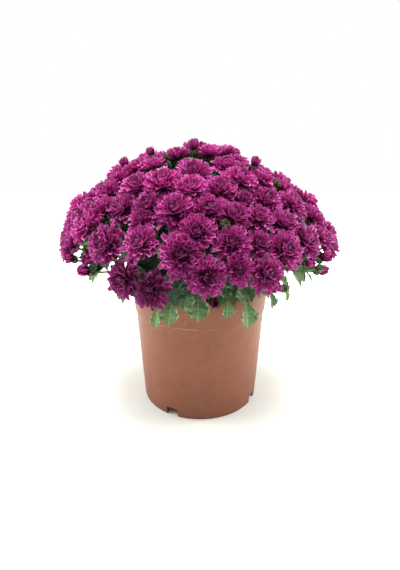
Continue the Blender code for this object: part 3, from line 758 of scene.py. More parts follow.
@dataclass(frozen=True)
class ClayFinish(Finish):
    """Clay-coloured satin plastic of the pot, with mottling, pale specks, a scuffed collar edge and painted
    shade along its foot.

    Relief is the height of the grain and of the worn spots. Grain dulls the plastic and wear polishes it.
    """

    deep: Colour = (0.205, 0.064, 0.031, 1)
    body: Colour = (0.235, 0.078, 0.04, 1)
    worn: Colour = (0.6, 0.38, 0.27, 1)
    # Colour of the painted shade along the pot's foot
    shaded_foot: Colour = (0.1, 0.04, 0.025, 1)
    collar: float = 92.5 * MM
    edge_level: float = 0.4 * MM
    edge_span: Span = (0.1 * MM, 0.7 * MM)
    foot_span: Span = (0.2 * MM, 1.4 * MM)
    speck_scale: float = 260.0
    speck_span: Span = (0.08, 0.18)
    speck_share: float = 0.55
    patch_scale: float = 40.0
    patch_span: Span = (0.58, 0.68)
    scuff_scale: float = 46.0
    scuff_span: Span = (0.5, 0.62)
    scuff_share: float = 0.85
    worn_share: float = 0.7
    foot_share: float = 0.6
    relief: Span = (0.5, 0.3)
    dulled: float = 0.12
    polished: float = 0.1

    def looks(self, sheet: Sheet, mottle: Field) -> dict[str, Value]:
        """Colours and relief of the pot.

        Args:
            sheet: The material's open tree.
            mottle: Blotches from 0 to 1.

        Returns:
            Values of the shader's inputs by name, and the relief as Height.
        """
        spot = sheet.add("ShaderNodeTexCoord", out="Object")
        level = sheet.add("ShaderNodeSeparateXYZ", {0: spot}).other("Z")
        grain = mottle.other("Grain")
        colour = sheet.mix(mottle, self.deep, self.body)
        values = {"Vector": spot, "Scale": self.speck_scale}
        cells = sheet.add("ShaderNodeTexVoronoi", values, out="Distance")
        values = {"Vector": spot, "Scale": self.patch_scale}
        rare = sheet.add("ShaderNodeTexNoise", values).between(*self.patch_span)
        specks = (1.0 - cells.between(*self.speck_span)) * rare * self.speck_share
        values = {"Vector": spot, "Scale": self.scuff_scale, "Detail": 4.0}
        broken = sheet.add("ShaderNodeTexNoise", values).between(*self.scuff_span)
        off_edge = (level - self.collar - self.edge_level).size().between(*self.edge_span)
        scuff = (1.0 - off_edge) * broken
        worn = specks.pair("MAXIMUM", scuff * self.scuff_share)
        colour = sheet.mix(worn * self.worn_share, colour, self.worn)
        # Painted shade: the lowest 1.4 mm of the pot darken where it meets the floor.
        foot_shade = 1.0 - level.between(*self.foot_span)
        colour = sheet.mix(foot_shade * self.foot_share, colour, self.shaded_foot)
        height = grain * self.relief[0] + worn * self.relief[1]
        rough = self.roughness + grain * self.dulled - worn * self.polished
        return {"Base Color": colour, "Height": height, "Roughness": rough}


class Paint(Enum):
    """Every finish of the model, by what it covers."""

    PETALS = PetalFinish("petals", roughness=0.48, specular=0.3, sheen=0.04, bump_depth=0.25 * MM)
    BUD_PETALS = PetalFinish(
        "bud petals", roughness=0.55, specular=0.25, deep=(0.08, 0.0012, 0.042, 1),
        body=(0.34, 0.012, 0.17, 1), light=(0.5, 0.035, 0.29, 1), edge=(0.7, 0.18, 0.48, 1),
        back=(0.42, 0.035, 0.25, 1),
    )
    BRACTS = PetalFinish(
        "bracts", roughness=0.6, deep=(0.05, 0.1, 0.03, 1), body=(0.13, 0.2, 0.075, 1),
        light=(0.2, 0.28, 0.12, 1), edge=(0.33, 0.38, 0.24, 1), back=(0.15, 0.22, 0.09, 1),
        heart_share=0.0,
    )
    LEAVES = LeafFinish("leaves", bump_depth=0.4 * MM, mottle_scale=70.0, specular=0.4)
    # Painted shade: a darker, bluer copy of the leaf finish for the leaves inside the dome, standing in for
    # the shade there.
    INNER_LEAVES = LeafFinish(
        "inner leaves", bump_depth=0.4 * MM, mottle_scale=70.0, specular=0.3,
        deep=(0.02, 0.06, 0.028, 1), body=(0.05, 0.11, 0.05, 1), vein=(0.1, 0.17, 0.09, 1),
        edge=(0.12, 0.19, 0.11, 1), back=(0.08, 0.13, 0.07, 1),
    )
    STEMS = Finish("stems", roughness=0.6, mottle_scale=180.0, mottle_stretch=0.2)
    SOIL = Finish(
        "soil", roughness=0.95, deep=(0.012, 0.008, 0.005, 1), body=(0.05, 0.032, 0.02, 1),
        bump_depth=1.2 * MM, mottle_scale=160.0,
    )
    CRUMBS = Finish(
        "soil crumbs", roughness=0.95, deep=(0.018, 0.012, 0.008, 1), body=(0.11, 0.075, 0.05, 1),
        mottle_scale=300.0,
    )
    CLAY = ClayFinish("clay plastic", roughness=0.42, specular=0.32, bump_depth=0.08 * MM, mottle_scale=110.0)
    FLOOR = FloorFinish(
        "floor", roughness=0.75, specular=0.2, deep=(0.83, 0.85, 0.79, 1), body=(0.86, 0.88, 0.82, 1),
        bump_depth=0.02 * MM, mottle_scale=6.0,
    )


def new_object(name: str, data: bpy.types.ID) -> bpy.types.Object:
    """Object of the scene at the origin.

    Args:
        name: Name of the object.
        data: Its mesh, lamp or camera.

    Returns:
        The object.
    """
    thing = bpy.data.objects.new(name, data)
    bpy.context.scene.collection.objects.link(thing)
    return thing


def points_of(mesh: bpy.types.Mesh) -> np.ndarray:
    """Positions of a mesh's vertices.

    Args:
        mesh: The mesh.

    Returns:
        One row for each vertex.
    """
    places = np.zeros(len(mesh.vertices) * 3)
    mesh.vertices.foreach_get("co", places)
    return places.reshape(-1, 3)


@dataclass
class Workshop:
    """Trees and materials that the pieces share, each built once."""

    groups: dict[str, bpy.types.NodeTree] = field(default_factory=dict)
    paints: dict[Paint, bpy.types.Material] = field(default_factory=dict)

    def __post_init__(self) -> None:
        """Build every tree and material."""
        self.groups = {
            "mottling": mottling_group(),
            "rosette": rosette_tree(),
            "leaves": leaf_tree(),
            "stems": stem_tree(),
            "crumbs": crumb_tree(),
        }
        self.paints = {paint: paint.value.material(self.groups) for paint in Paint}

    def grow(
        self, name: str, mesh: bpy.types.Mesh, tree: str, paint: Paint, values: dict[str, Any]
    ) -> bpy.types.Mesh:
        """Run a geometry tree on a mesh of points or lines.

        Args:
            name: Name of the new mesh.
            mesh: Points or lines with the attributes that the tree reads.
            tree: Name of the tree.
            paint: Finish of the result.
            values: Values of the tree's named inputs.

        Returns:
            The result as a plain mesh.
        """
        holder = new_object(name, mesh)
        modifier = holder.modifiers.new(tree, "NODES")
        modifier.node_group = self.groups[tree]
        values = values | {"Material": self.paints[paint]}
        for item in self.groups[tree].interface.items_tree:
            if item.in_out == "INPUT" and item.name in values:
                modifier[item.identifier] = values[item.name]
        view = bpy.context.evaluated_depsgraph_get()
        grown = bpy.data.meshes.new_from_object(
            holder.evaluated_get(view), preserve_all_data_layers=True, depsgraph=view
        )
        holder.modifiers.remove(modifier)
        bpy.data.objects.remove(holder)
        bpy.data.meshes.remove(mesh)
        grown.name = name
        return grown


def point_mesh(
    places: Sequence[Vector], values: dict[str, Sequence[Any]], lines: Sequence[tuple[int, int]] = ()
) -> bpy.types.Mesh:
    """Mesh of points, and lines between them, with a value of each kind on every point.

    Args:
        places: Where the points are.
        values: A list of numbers or vectors for each attribute.
        lines: Pairs of point numbers.

    Returns:
        The mesh.
    """
    mesh = bpy.data.meshes.new("points")
    mesh.from_pydata(places, lines, [])
    for name, column in values.items():
        first = column[0]
        if isinstance(first, Vector):
            layer = mesh.attributes.new(name, "FLOAT_VECTOR", "POINT")
            layer.data.foreach_set("vector", np.array(column, np.float32).ravel())
        else:
            layer = mesh.attributes.new(name, "INT" if isinstance(first, int) else "FLOAT", "POINT")
            layer.data.foreach_set("value", column)
    return mesh


def place_piece(
    name: str, meshes: Sequence[bpy.types.Mesh], nodes: Sequence[str]
) -> bpy.types.Object:
    """Join meshes into one piece of the object, hang it under the root body and hide the CAD nodes that it
    replaces.

    Args:
        name: Name of the piece.
        meshes: Its meshes, each with its own material.
        nodes: CAD nodes that it replaces.

    Returns:
        The piece.
    """
    pieces = [new_object(name, mesh) for mesh in meshes]
    if len(pieces) > 1:
        with bpy.context.temp_override(active_object=pieces[0], selected_editable_objects=pieces):
            bpy.ops.object.join()
    piece = pieces[0]
    piece.name = name
    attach(piece, "root")
    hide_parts(*nodes)
    LOG.info("%s: %d faces", name, len(piece.data.polygons))
    return piece


# Plan of the plant, the same as the solids'

def bearing_direction(bearing: float) -> Vector:
    """Horizontal unit vector at a bearing."""
    angle = math.radians(bearing)
    return Vector((math.sin(angle), -math.cos(angle), 0))


class FlowerKind(Enum):
    """What stands at the end of a flower stalk."""

    BLOOM = "bloom"
    BUD = "bud"
    GREEN = "green"


@dataclass(frozen=True)
class Flower:
    """One bloom or bud at its place on the dome."""

    base: Vector
    facing: Vector
    spin: float
    radius: float
    kind: FlowerKind
    plant: int
    seed: float
    climb: float
    heart_share: float = 0.4

    def heart(self) -> Vector:
        """Middle of the flower's body."""
        return self.base + self.facing * self.radius * self.heart_share

    def aside(self) -> Vector:
        """Direction square to the facing, turned by the spin."""
        first = self.facing.orthogonal().normalized()
        return first * math.cos(self.spin) + self.facing.cross(first) * math.sin(self.spin)


@dataclass(frozen=True)
class Leaf:
    """One leaf: where its blade starts, where it points and how it bends."""

    root: Vector
    ahead: Vector
    lift: Vector
    length: float
    width: float
    droop: float
    joint: Vector


# Bearing, climb and size in mm of each bloom that the photograph shows
FRONT_BLOOMS = (
    (-17, -15, 26), (-27, -8, 26), (2, -1, 26), (12, 5, 21), (21, -2, 26),
    (-57, 7, 24), (-35, 15, 26), (-20, 17, 23), (-6, 13, 28), (11, 19, 23), (21, 19, 17),
    (30, 14, 24), (44, 17, 26), (57, 15, 22), (70, 6, 21),
    (-48, 21, 24), (-1, 24, 23), (38, 27, 22), (67, 26, 24), (-24, 29, 16), (-64, 25, 24),
    (-10, 34, 26), (4, 35, 23), (14, 32, 23), (25, 31, 21), (-49, 31, 23), (-37, 34, 22), (-24, 36, 23),
    (54, 36, 23), (36, 40, 24), (22, 41, 18), (-5, 44, 23), (11, 45, 24),
    (-59, 41, 23), (-37, 46, 25), (-21, 47, 25), (27, 51, 25), (49, 51, 24), (-66, 49, 23),
    (-5, 57, 26), (-70, 58, 23), (-46, 60, 20), (30, 63, 22), (45, 59, 19), (18, 74, 22), (-50, 74, 23),
)
# Bearing, climb, lift in mm and size in mm of each opening bud
OPEN_BUDS = (
    (-12, 76, 6, 10), (-55, 64, 9, 7), (-80, 55, 7, 8), (47, 56, 9, 8),
    (-53, -2, 4, 7), (-44, -8, 2, 9), (-42, 4, -1, 9), (43, -1, -2, 7), (51, -11, 2, 8),
    (52, 1, 0, 9), (6, -30, -9, 8), (29, -18, -3, 7),
)
# Bearing, climb and lift in mm of each tight bud
GREEN_BUDS = (
    (-42, 66, 5), (53, 46, 6), (47, -7, 4), (36, -22, -4), (-45, 9, 0), (9, 27, 5), (140, 42, 6),
    (-120, 30, 6),
)
# Small blooms, as above, that close gaps near the top and at the sides; the solids don't have them
LATE_BLOOMS = ((72, 45, 22), (-72, 36, 21), (66, 66, 19), (-84, 66, 19), (-18, 67, 15), (66, 55, 16))
# Bearing, reach, level, pitch, length and width of the leaves that hang over the rim, in mm and degrees
SKIRT_LEAVES = (
    (-26, 74, 119, -50, 22, 11), (-17, 70, 127, -38, 27, 20), (-8, 72, 140, -40, 26, 18),
    (-1, 72, 134, -36, 28, 20), (17, 72, 126, -62, 20, 12), (29, 70, 126, -48, 31, 19),
    (24, 74, 138, -10, 22, 20), (46, 76, 129, -48, 22, 12), (54, 84, 133, -55, 22, 9),
    (54, 82, 149, -24, 28, 24), (68, 90, 141, -25, 22, 7), (-62, 80, 147, -18, 32, 20),
    (-46, 74, 134, -30, 24, 18),
)
# Leaves, as above, that fill the hem behind a bud; the solids don't have them
FILL_LEAVES = ((13, 49, 133, -24, 27, 22), (23, 52, 135, -27, 27, 24))
# Bearings of the leaves over the rim at the back, and the other five values that they share
BACK_SKIRT_BEARINGS = (88, 124, 143, 165, 194, 214, 235, 266)
BACK_SKIRT_LEAF = (72, 128, -42, 28, 18)
# Bearing, climb, length and width of the leaves between the blooms
INNER_LEAVES = (
    (-27, 27, 22, 14), (-17, 22, 22, 14), (-20, 3, 24, 14), (22, 8, 22, 14),
    (33, 24, 24, 14), (-20, 58, 22, 14), (62, 8, 22, 14), (-60, 16, 22, 14),
    (130, 12, 22, 14), (165, 35, 22, 14), (-90, 38, 22, 14),
)


@dataclass
class PlantPlan:
    """Places of every flower and stem, by the same rules and draws as the solids."""

    dome_radius: float = 116 * MM
    dome_level: float = 157 * MM
    dome_rise: float = 74 * MM
    dome_drop: float = 52 * MM
    dome_roundness: float = 1.58
    dome_skew: float = 0.13
    dome_core: Vector = Vector((0, 0, 135 * MM))
    hem_pitch: float = 12
    pitch_power: float = 0.9
    plant_count: int = 5
    sector_turn: float = 3
    sector_clear: float = 4.3 * MM
    most_turn: float = 0.58
    places_tried: int = 2400
    bloom_spacing: float = 22 * MM
    bloom_sizes: Span = (26 * MM, 28.5 * MM)
    front_growth: float = 2.5
    axis_clear: float = 9 * MM
    hem_climb: float = 2
    front_view: Vector = Vector((0, -350 * MM, 228 * MM))
    front_cover: float = -0.03
    face_tilt: float = 7
    green_radius: float = 2.6 * MM
    main_reach: float = 30 * MM
    main_top: float = 124 * MM
    main_lean: float = 4 * MM
    main_radius: float = 3 * MM
    main_foot: float = 84 * MM
    branch_bow: float = 0.12
    branch_stagger: float = 2.2 * MM
    branch_steps: int = 5
    fork_depth: float = 0.64
    forks: tuple[tuple[float, float], ...] = ((-19, 2), (19, 2), (-14, 36), (14, 36), (0, 66))
    joint_sharing: float = 14 * MM
    stalk_straight: float = 12 * MM
    inner_leaf_depth: float = 19 * MM
    bloom_shuffle: float = 2.2 * MM
    bloom_settle: float = 1.2 * MM
    flowers: list[Flower] = field(default_factory=list)

    def __post_init__(self) -> None:
        """Lay the flowers out with the solids' seed, then settle each a little higher or lower."""
        self.lay_out(random.Random(SEED))
        for number, flower in enumerate(self.flowers):
            if flower.kind is FlowerKind.BLOOM:
                shift = flower.facing * (self.bloom_shuffle * (flower.seed * 2 - 1) - self.bloom_settle)
                self.flowers[number] = replace(flower, base=flower.base + shift)

    def sector(self) -> float:
        """Width of one plant's sector in degrees."""
        return 360 / self.plant_count

    def dome_point(self, bearing: float, climb: float) -> Vector:
        """Point of the dome's surface.

        Args:
            bearing: Bearing in degrees.
            climb: Climb in degrees.

        Returns:
            The point, from the pot's axis.
        """
        angle = math.radians(climb)
        if climb < 0:
            reach = self.dome_radius * math.cos(angle)
            level = self.dome_level + self.dome_drop * math.sin(angle)
        else:
            power = 2 / (self.dome_roundness - self.dome_skew * math.sin(math.radians(bearing)))
            reach = self.dome_radius * math.cos(angle) ** power
            level = self.dome_level + self.dome_rise * math.sin(angle) ** power
        return bearing_direction(bearing) * reach + UP * level

    def dome_facing(self, bearing: float, climb: float) -> Vector:
        """Direction in which a flower faces.

        Args:
            bearing: Bearing in degrees.
            climb: Climb in degrees.

        Returns:
            The unit direction, outwards at the hem and upwards at the top.
        """
        share = max(climb, 0) / 90
        rise = math.radians(self.hem_pitch + (90 - self.hem_pitch) * share ** self.pitch_power)
        return bearing_direction(bearing) * math.cos(rise) + UP * math.sin(rise)

    def plant_of(self, bearing: float) -> int:
        """Number of the plant whose sector holds a bearing."""
        return round((bearing - self.sector_turn) / self.sector()) % self.plant_count

    def settle_bearing(self, bearing: float, climb: float) -> float:
        """Bearing moved so that a stalk there stays clear of its sector's sides.

        Args:
            bearing: Bearing in degrees.
            climb: Climb in degrees.

        Returns:
            The settled bearing.
        """
        reach = self.dome_point(bearing, climb).xy.length
        middle = self.plant_of(bearing) * self.sector() + self.sector_turn
        offset = (bearing - middle + 180) % 360 - 180
        turn = math.degrees(math.asin(min(self.sector_clear / reach, self.most_turn)))
        room = self.sector() / 2 - turn
        return middle + max(-room, min(room, offset))

    def add_flower(
        self, place: tuple[float, float], lift: float, radius: float, kind: FlowerKind, rng: random.Random
    ) -> None:
        """Add one flower.

        Args:
            place: Bearing and climb in degrees.
            lift: Height above the dome.
            radius: Radius of the flower.
            kind: What it is.
            rng: Source of the sway, the spin and the flower's own seed, in that order.
        """
        bearing, climb = self.settle_bearing(*place), place[1]
        facing = self.dome_facing(bearing, climb)
        base = self.dome_point(bearing, climb) + facing * lift
        tilt = math.tan(math.radians(self.face_tilt))
        sway = Vector((rng.uniform(-tilt, tilt), rng.uniform(-tilt, tilt), rng.uniform(-tilt, tilt)))
        facing = (facing + sway).normalized()
        spin = rng.uniform(0, math.tau)
        plant = self.plant_of(bearing)
        self.flowers.append(Flower(base, facing, spin, radius, kind, plant, rng.random(), climb))

    def back_places(self, taken: list[Vector]) -> Iterator[tuple[float, float]]:
        """Places of the blooms that the front view doesn't show.

        Args:
            taken: Points of the blooms so far, to which each new one is added.

        Yields:
            Bearing and climb.
        """
        lowest = math.sin(math.radians(self.hem_climb))
        for index in range(self.places_tried):
            share = (index + 0.5) / self.places_tried
            climb = math.degrees(math.asin(1 - share * (1 - lowest)))
            bearing = index * GOLDEN_ANGLE % 360 - 180
            point = self.dome_point(bearing, climb)
            view = (self.front_view - point).normalized()
            seen = self.dome_facing(bearing, climb).dot(view) > self.front_cover
            if point.xy.length < self.axis_clear or seen:
                continue
            if all((point - other).length > self.bloom_spacing for other in taken):
                taken.append(point)
                yield bearing, climb

    def lay_out(self, rng: random.Random) -> None:
        """Add every flower in the solids' order.

        Args:
            rng: Source of chance.
        """
        for bearing, climb, size in FRONT_BLOOMS:
            radius = (size + self.front_growth) * MM / 2
            self.add_flower((bearing, climb), 0, radius, FlowerKind.BLOOM, rng)
        taken = [flower.base for flower in self.flowers]
        for place in self.back_places(taken):
            radius = rng.uniform(*self.bloom_sizes) / 2
            self.add_flower(place, 0, radius, FlowerKind.BLOOM, rng)
        for bearing, climb, lift, size in OPEN_BUDS:
            self.add_flower((bearing, climb), lift * MM, size * MM / 2, FlowerKind.BUD, rng)
        for bearing, climb, lift in GREEN_BUDS:
            self.add_flower((bearing, climb), lift * MM, self.green_radius, FlowerKind.GREEN, rng)
        for bearing, climb, size in LATE_BLOOMS:
            self.add_flower((bearing, climb), 0, size * MM / 2, FlowerKind.BLOOM, rng)

    def main_stem(self, plant: int) -> tuple[Vector, Vector]:
        """Foot and top of a plant's main stem.

        Args:
            plant: Number of the plant.

        Returns:
            The two points.
        """
        outward = bearing_direction(plant * self.sector() + self.sector_turn)
        foot = outward * self.main_reach + UP * self.main_foot
        return foot, outward * (self.main_reach + self.main_lean) + UP * self.main_top

    def branches(self, plant: int) -> list[list[Vector]]:
        """Paths of a plant's branches, from its main stem to their forks.

        Args:
            plant: Number of the plant.

        Returns:
            A list of points for each branch.
        """
        top = self.main_stem(plant)[1]
        paths = []
        for number, (offset, climb) in enumerate(self.forks):
            drop = self.main_radius + self.branch_stagger * (len(self.forks) - 1 - number)
            start = top - UP * drop
            bearing = plant * self.sector() + self.sector_turn + offset
            fork = self.dome_core.lerp(self.dome_point(bearing, climb), self.fork_depth)
            knee = top.lerp(fork, 0.5) + UP * (fork - top).length * self.branch_bow
            path = []
            for step in range(self.branch_steps + 1):
                share = step / self.branch_steps
                path.append(start * (1 - share) ** 2 + knee * 2 * share * (1 - share) + fork * share ** 2)
            paths.append(path)
        return paths

    def joints(self, plant: int) -> list[Vector]:
        """Points of a plant's branches where stalks may leave.

        Args:
            plant: Number of the plant.

        Returns:
            The points, branch by branch.
        """
        return [
            path[step].lerp(path[step + 1], 0.5)
            for path in self.branches(plant) for step in range(1, self.branch_steps)
        ]

    def inner_point(self, flower: Flower) -> Vector:
        """Point of a flower's stalk where it turns towards its joint."""
        return flower.base - flower.facing * self.stalk_straight

    def stalk_joints(self, plant: int) -> list[tuple[Flower, Vector]]:
        """Each flower of a plant with the joint that its stalk leaves from.

        Args:
            plant: Number of the plant.

        Returns:
            Pairs of flower and joint.
        """
        joints = self.joints(plant)
        uses = [0] * len(joints)
        pairs = []
        for flower in self.flowers:
            if flower.plant == plant:
                inner = self.inner_point(flower)
                costs = [
                    (joint - inner).length + self.joint_sharing * used for joint, used in zip(joints, uses)
                ]
                best = costs.index(min(costs))
                uses[best] += 1
                pairs.append((flower, joints[best]))
        return pairs


# Pieces

def turned_mesh(name: str, profile: Outline, sides: int) -> bpy.types.Mesh:
    """Closed mesh turned about the pot's axis.

    Args:
        name: Name of the mesh.
        profile: Radius and level of each ring, from the lower end on the axis to the upper one.
        sides: Number of sides.

    Returns:
        The mesh, facing outwards.
    """
    points = [UP * profile[0][1]]
    for radius, level in profile[1:-1]:
        points += [bearing_direction(360 * side / sides) * radius + UP * level for side in range(sides)]
    points.append(UP * profile[-1][1])
    last = len(points) - 1
    faces = []
    for side in range(sides):
        after = (side + 1) % sides
        faces.append((0, 1 + after, 1 + side))
        for ring in range(len(profile) - 3):
            low = 1 + ring * sides
            high = low + sides
            faces.append((low + side, low + after, high + after, high + side))
        faces.append((last - sides + side, last - sides + after, last))
    mesh = bpy.data.meshes.new(name)
    mesh.from_pydata(points, [], faces)
    return mesh


@dataclass
class Pot:
    """Turned nursery pot with a shallow collar, a raised floor and four notches in its foot."""

    axis: Vector
    shop: Workshop
    height: float = 119 * MM
    base_radius: float = 57 * MM
    wall_top_radius: float = 62 * MM
    rim_radius: float = 65 * MM
    rim_width: float = 2.8 * MM
    collar: float = 92.5 * MM
    collar_step: float = 1 * MM
    rounding: float = 0.7 * MM
    floor_underside: float = 9 * MM
    floor_top: float = 11 * MM
    floor_wall: float = 2.7 * MM
    floor_flare: float = 0.5 * MM
    foot_width: float = 3 * MM
    notch_bearings: tuple[float, ...] = (-27, 63, 153, 243)
    notch_size: tuple[float, float] = (12 * MM, 8 * MM)
    notch_rounding: float = 1.6 * MM
    notch_steps: int = 4
    sides: int = 180
    wall_steps: int = 14
    arc_steps: int = 3
    sharp_angle: float = 38

    def inner_radius(self, level: float) -> float:
        """Inner radius of the wall.

        Args:
            level: Height above the surface that the pot stands on.

        Returns:
            The radius at that level.
        """
        share = (level - self.floor_top) / (self.height - self.floor_top)
        low = self.base_radius + self.floor_flare - self.floor_wall
        return low + (self.rim_radius - self.rim_width - low) * share

    def arc(self, centre: tuple[float, float], start: float, end: float, radius: float) -> Outline:
        """Points of a rounded edge of the profile.

        Args:
            centre: Radius and level of the arc's centre.
            start: First angle in degrees, from outwards towards up.
            end: Last angle.
            radius: Radius of the arc.

        Returns:
            Radius and level of each point.
        """
        points = []
        for step in range(self.arc_steps + 1):
            angle = math.radians(start + (end - start) * step / self.arc_steps)
            points.append((centre[0] + radius * math.cos(angle), centre[1] + radius * math.sin(angle)))
        return points

    def profile(self) -> Outline:
        """Outline of half the pot's section, from the underside of its floor to its top.

        Returns:
            Radius and level of each point.
        """
        soft = self.rounding
        foot = self.base_radius - self.foot_width
        wall_step = self.wall_top_radius + self.collar_step
        line = [(0, self.floor_underside), (foot - soft, self.floor_underside)]
        line += [(foot, self.floor_underside - soft), (foot, soft / 2), (foot + soft / 2, 0)]
        line += self.arc((self.base_radius - soft, soft), -90, 0, soft)
        for step in range(1, self.wall_steps):
            share = step / self.wall_steps
            radius = self.base_radius + (self.wall_top_radius - self.base_radius) * share
            line.append((radius, soft + (self.collar - 2 * soft) * share))
        line.append((self.wall_top_radius, self.collar - soft / 2))
        line.append((self.wall_top_radius + soft / 4, self.collar))
        line += self.arc((wall_step - soft / 2, self.collar + soft), -70, 0, soft / 2)
        line.append((wall_step + (self.rim_radius - wall_step) / 2, (self.collar + self.height) / 2))
        line += self.arc((self.rim_radius - soft, self.height - soft), 0, 90, soft)
        inner = self.rim_radius - self.rim_width
        line += self.arc((inner + soft, self.height - soft), 90, 180, soft)
        line += [(self.inner_radius(self.floor_top), self.floor_top), (0, self.floor_top)]
        return line

    def notch(self, bearing: float) -> bpy.types.Object:
        """Cutter of one drain notch, with rounded upper corners.

        Args:
            bearing: Bearing of the notch.

        Returns:
            The cutter.
        """
        width, height = self.notch_size
        soft = self.notch_rounding
        half = width / 2
        outline = [(-half, -height), (half, -height)]
        for centre, start in ((half - soft, 0), (soft - half, 90)):
            for step in range(self.notch_steps + 1):
                angle = math.radians(start + 90 * step / self.notch_steps)
                outline.append((centre + soft * math.cos(angle), height - soft + soft * math.sin(angle)))
        out, side = bearing_direction(bearing), bearing_direction(bearing + 90)
        points = []
        for reach in (self.base_radius - 2 * self.foot_width, self.base_radius + 2 * self.foot_width):
            points += [out * reach + side * across + UP * level for across, level in outline]
        count = len(outline)
        faces = [tuple(reversed(range(count))), tuple(range(count, 2 * count))]
        for corner in range(count):
            after = (corner + 1) % count
            faces.append((corner, after, after + count, corner + count))
        mesh = bpy.data.meshes.new("notch")
        mesh.from_pydata(points, [], faces)
        return new_object("notch", mesh)

    def build(self) -> bpy.types.Object:
        """Make the pot's mesh, cut its notches and dress it.

        Returns:
            The piece.
        """
        pot = new_object("pot", turned_mesh("pot", self.profile(), self.sides))
        cutters = [self.notch(bearing) for bearing in self.notch_bearings]
        for cutter in cutters:
            modifier = pot.modifiers.new("Notch", "BOOLEAN")
            modifier.operation = "DIFFERENCE"
            modifier.object = cutter
            modifier.solver = "EXACT"
        view = bpy.context.evaluated_depsgraph_get()
        mesh = bpy.data.meshes.new_from_object(pot.evaluated_get(view))
        for helper in [pot, *cutters]:
            bpy.data.objects.remove(helper)
        mesh.materials.clear()
        mesh.materials.append(self.shop.paints[Paint.CLAY])
        mesh.shade_smooth()
        mesh.set_sharp_from_angle(angle=math.radians(self.sharp_angle))
        for vertex in mesh.vertices:
            vertex.co += self.axis
        return place_piece("clay_pot", [mesh], ["pot"])


@dataclass
class Soil:
    """Lumpy potting soil with loose crumbs on it."""

    axis: Vector
    pot: Pot
    shop: Workshop
    level: float = 104 * MM
    crown: float = 2.5 * MM
    gap: float = 0.3 * MM
    lump: float = 0.8 * MM
    rings: int = 26
    sides: int = 96
    crumb_density: float = 160000.0
    crumb_radius: float = 0.95 * MM

    def build(self) -> bpy.types.Object:
        """Make the soil's mesh, scatter the crumbs and dress both.

        Returns:
            The piece.
        """
        floor = self.pot.floor_top + self.gap
        edge = self.pot.inner_radius(self.level) - self.gap
        profile = [(0, floor), (self.pot.inner_radius(floor) - self.gap, floor)]
        for ring in range(self.rings):
            share = 1 - ring / self.rings
            profile.append((edge * share, self.level + self.crown * math.cos(share * math.pi / 2)))
        profile.append((0, self.level + self.crown))
        mesh = turned_mesh("soil", profile, self.sides)
        rng = np.random.default_rng(SEED)
        places = points_of(mesh)
        reach = np.hypot(places[:, 0], places[:, 1])
        top = (places[:, 2] > self.level - self.gap) & (reach < edge - self.gap)
        places[top, 2] += rng.uniform(-self.lump, self.lump, top.sum())
        mesh.vertices.foreach_set("co", (places + np.array(self.axis)).ravel())
        mesh.materials.append(self.shop.paints[Paint.SOIL])
        mesh.shade_smooth()
        bed = bpy.data.meshes.new("crumb bed")
        upper = [
            tuple(face.vertices) for face in mesh.polygons
            if all(top[number] for number in face.vertices)
        ]
        bed.from_pydata([vertex.co.copy() for vertex in mesh.vertices], [], upper)
        values = {"Density": self.crumb_density, "Crumb radius": self.crumb_radius, "Seed": SEED}
        crumbs = self.shop.grow("crumbs", bed, "crumbs", Paint.CRUMBS, values)
        return place_piece("potting_soil", [mesh, crumbs], ["soil"])


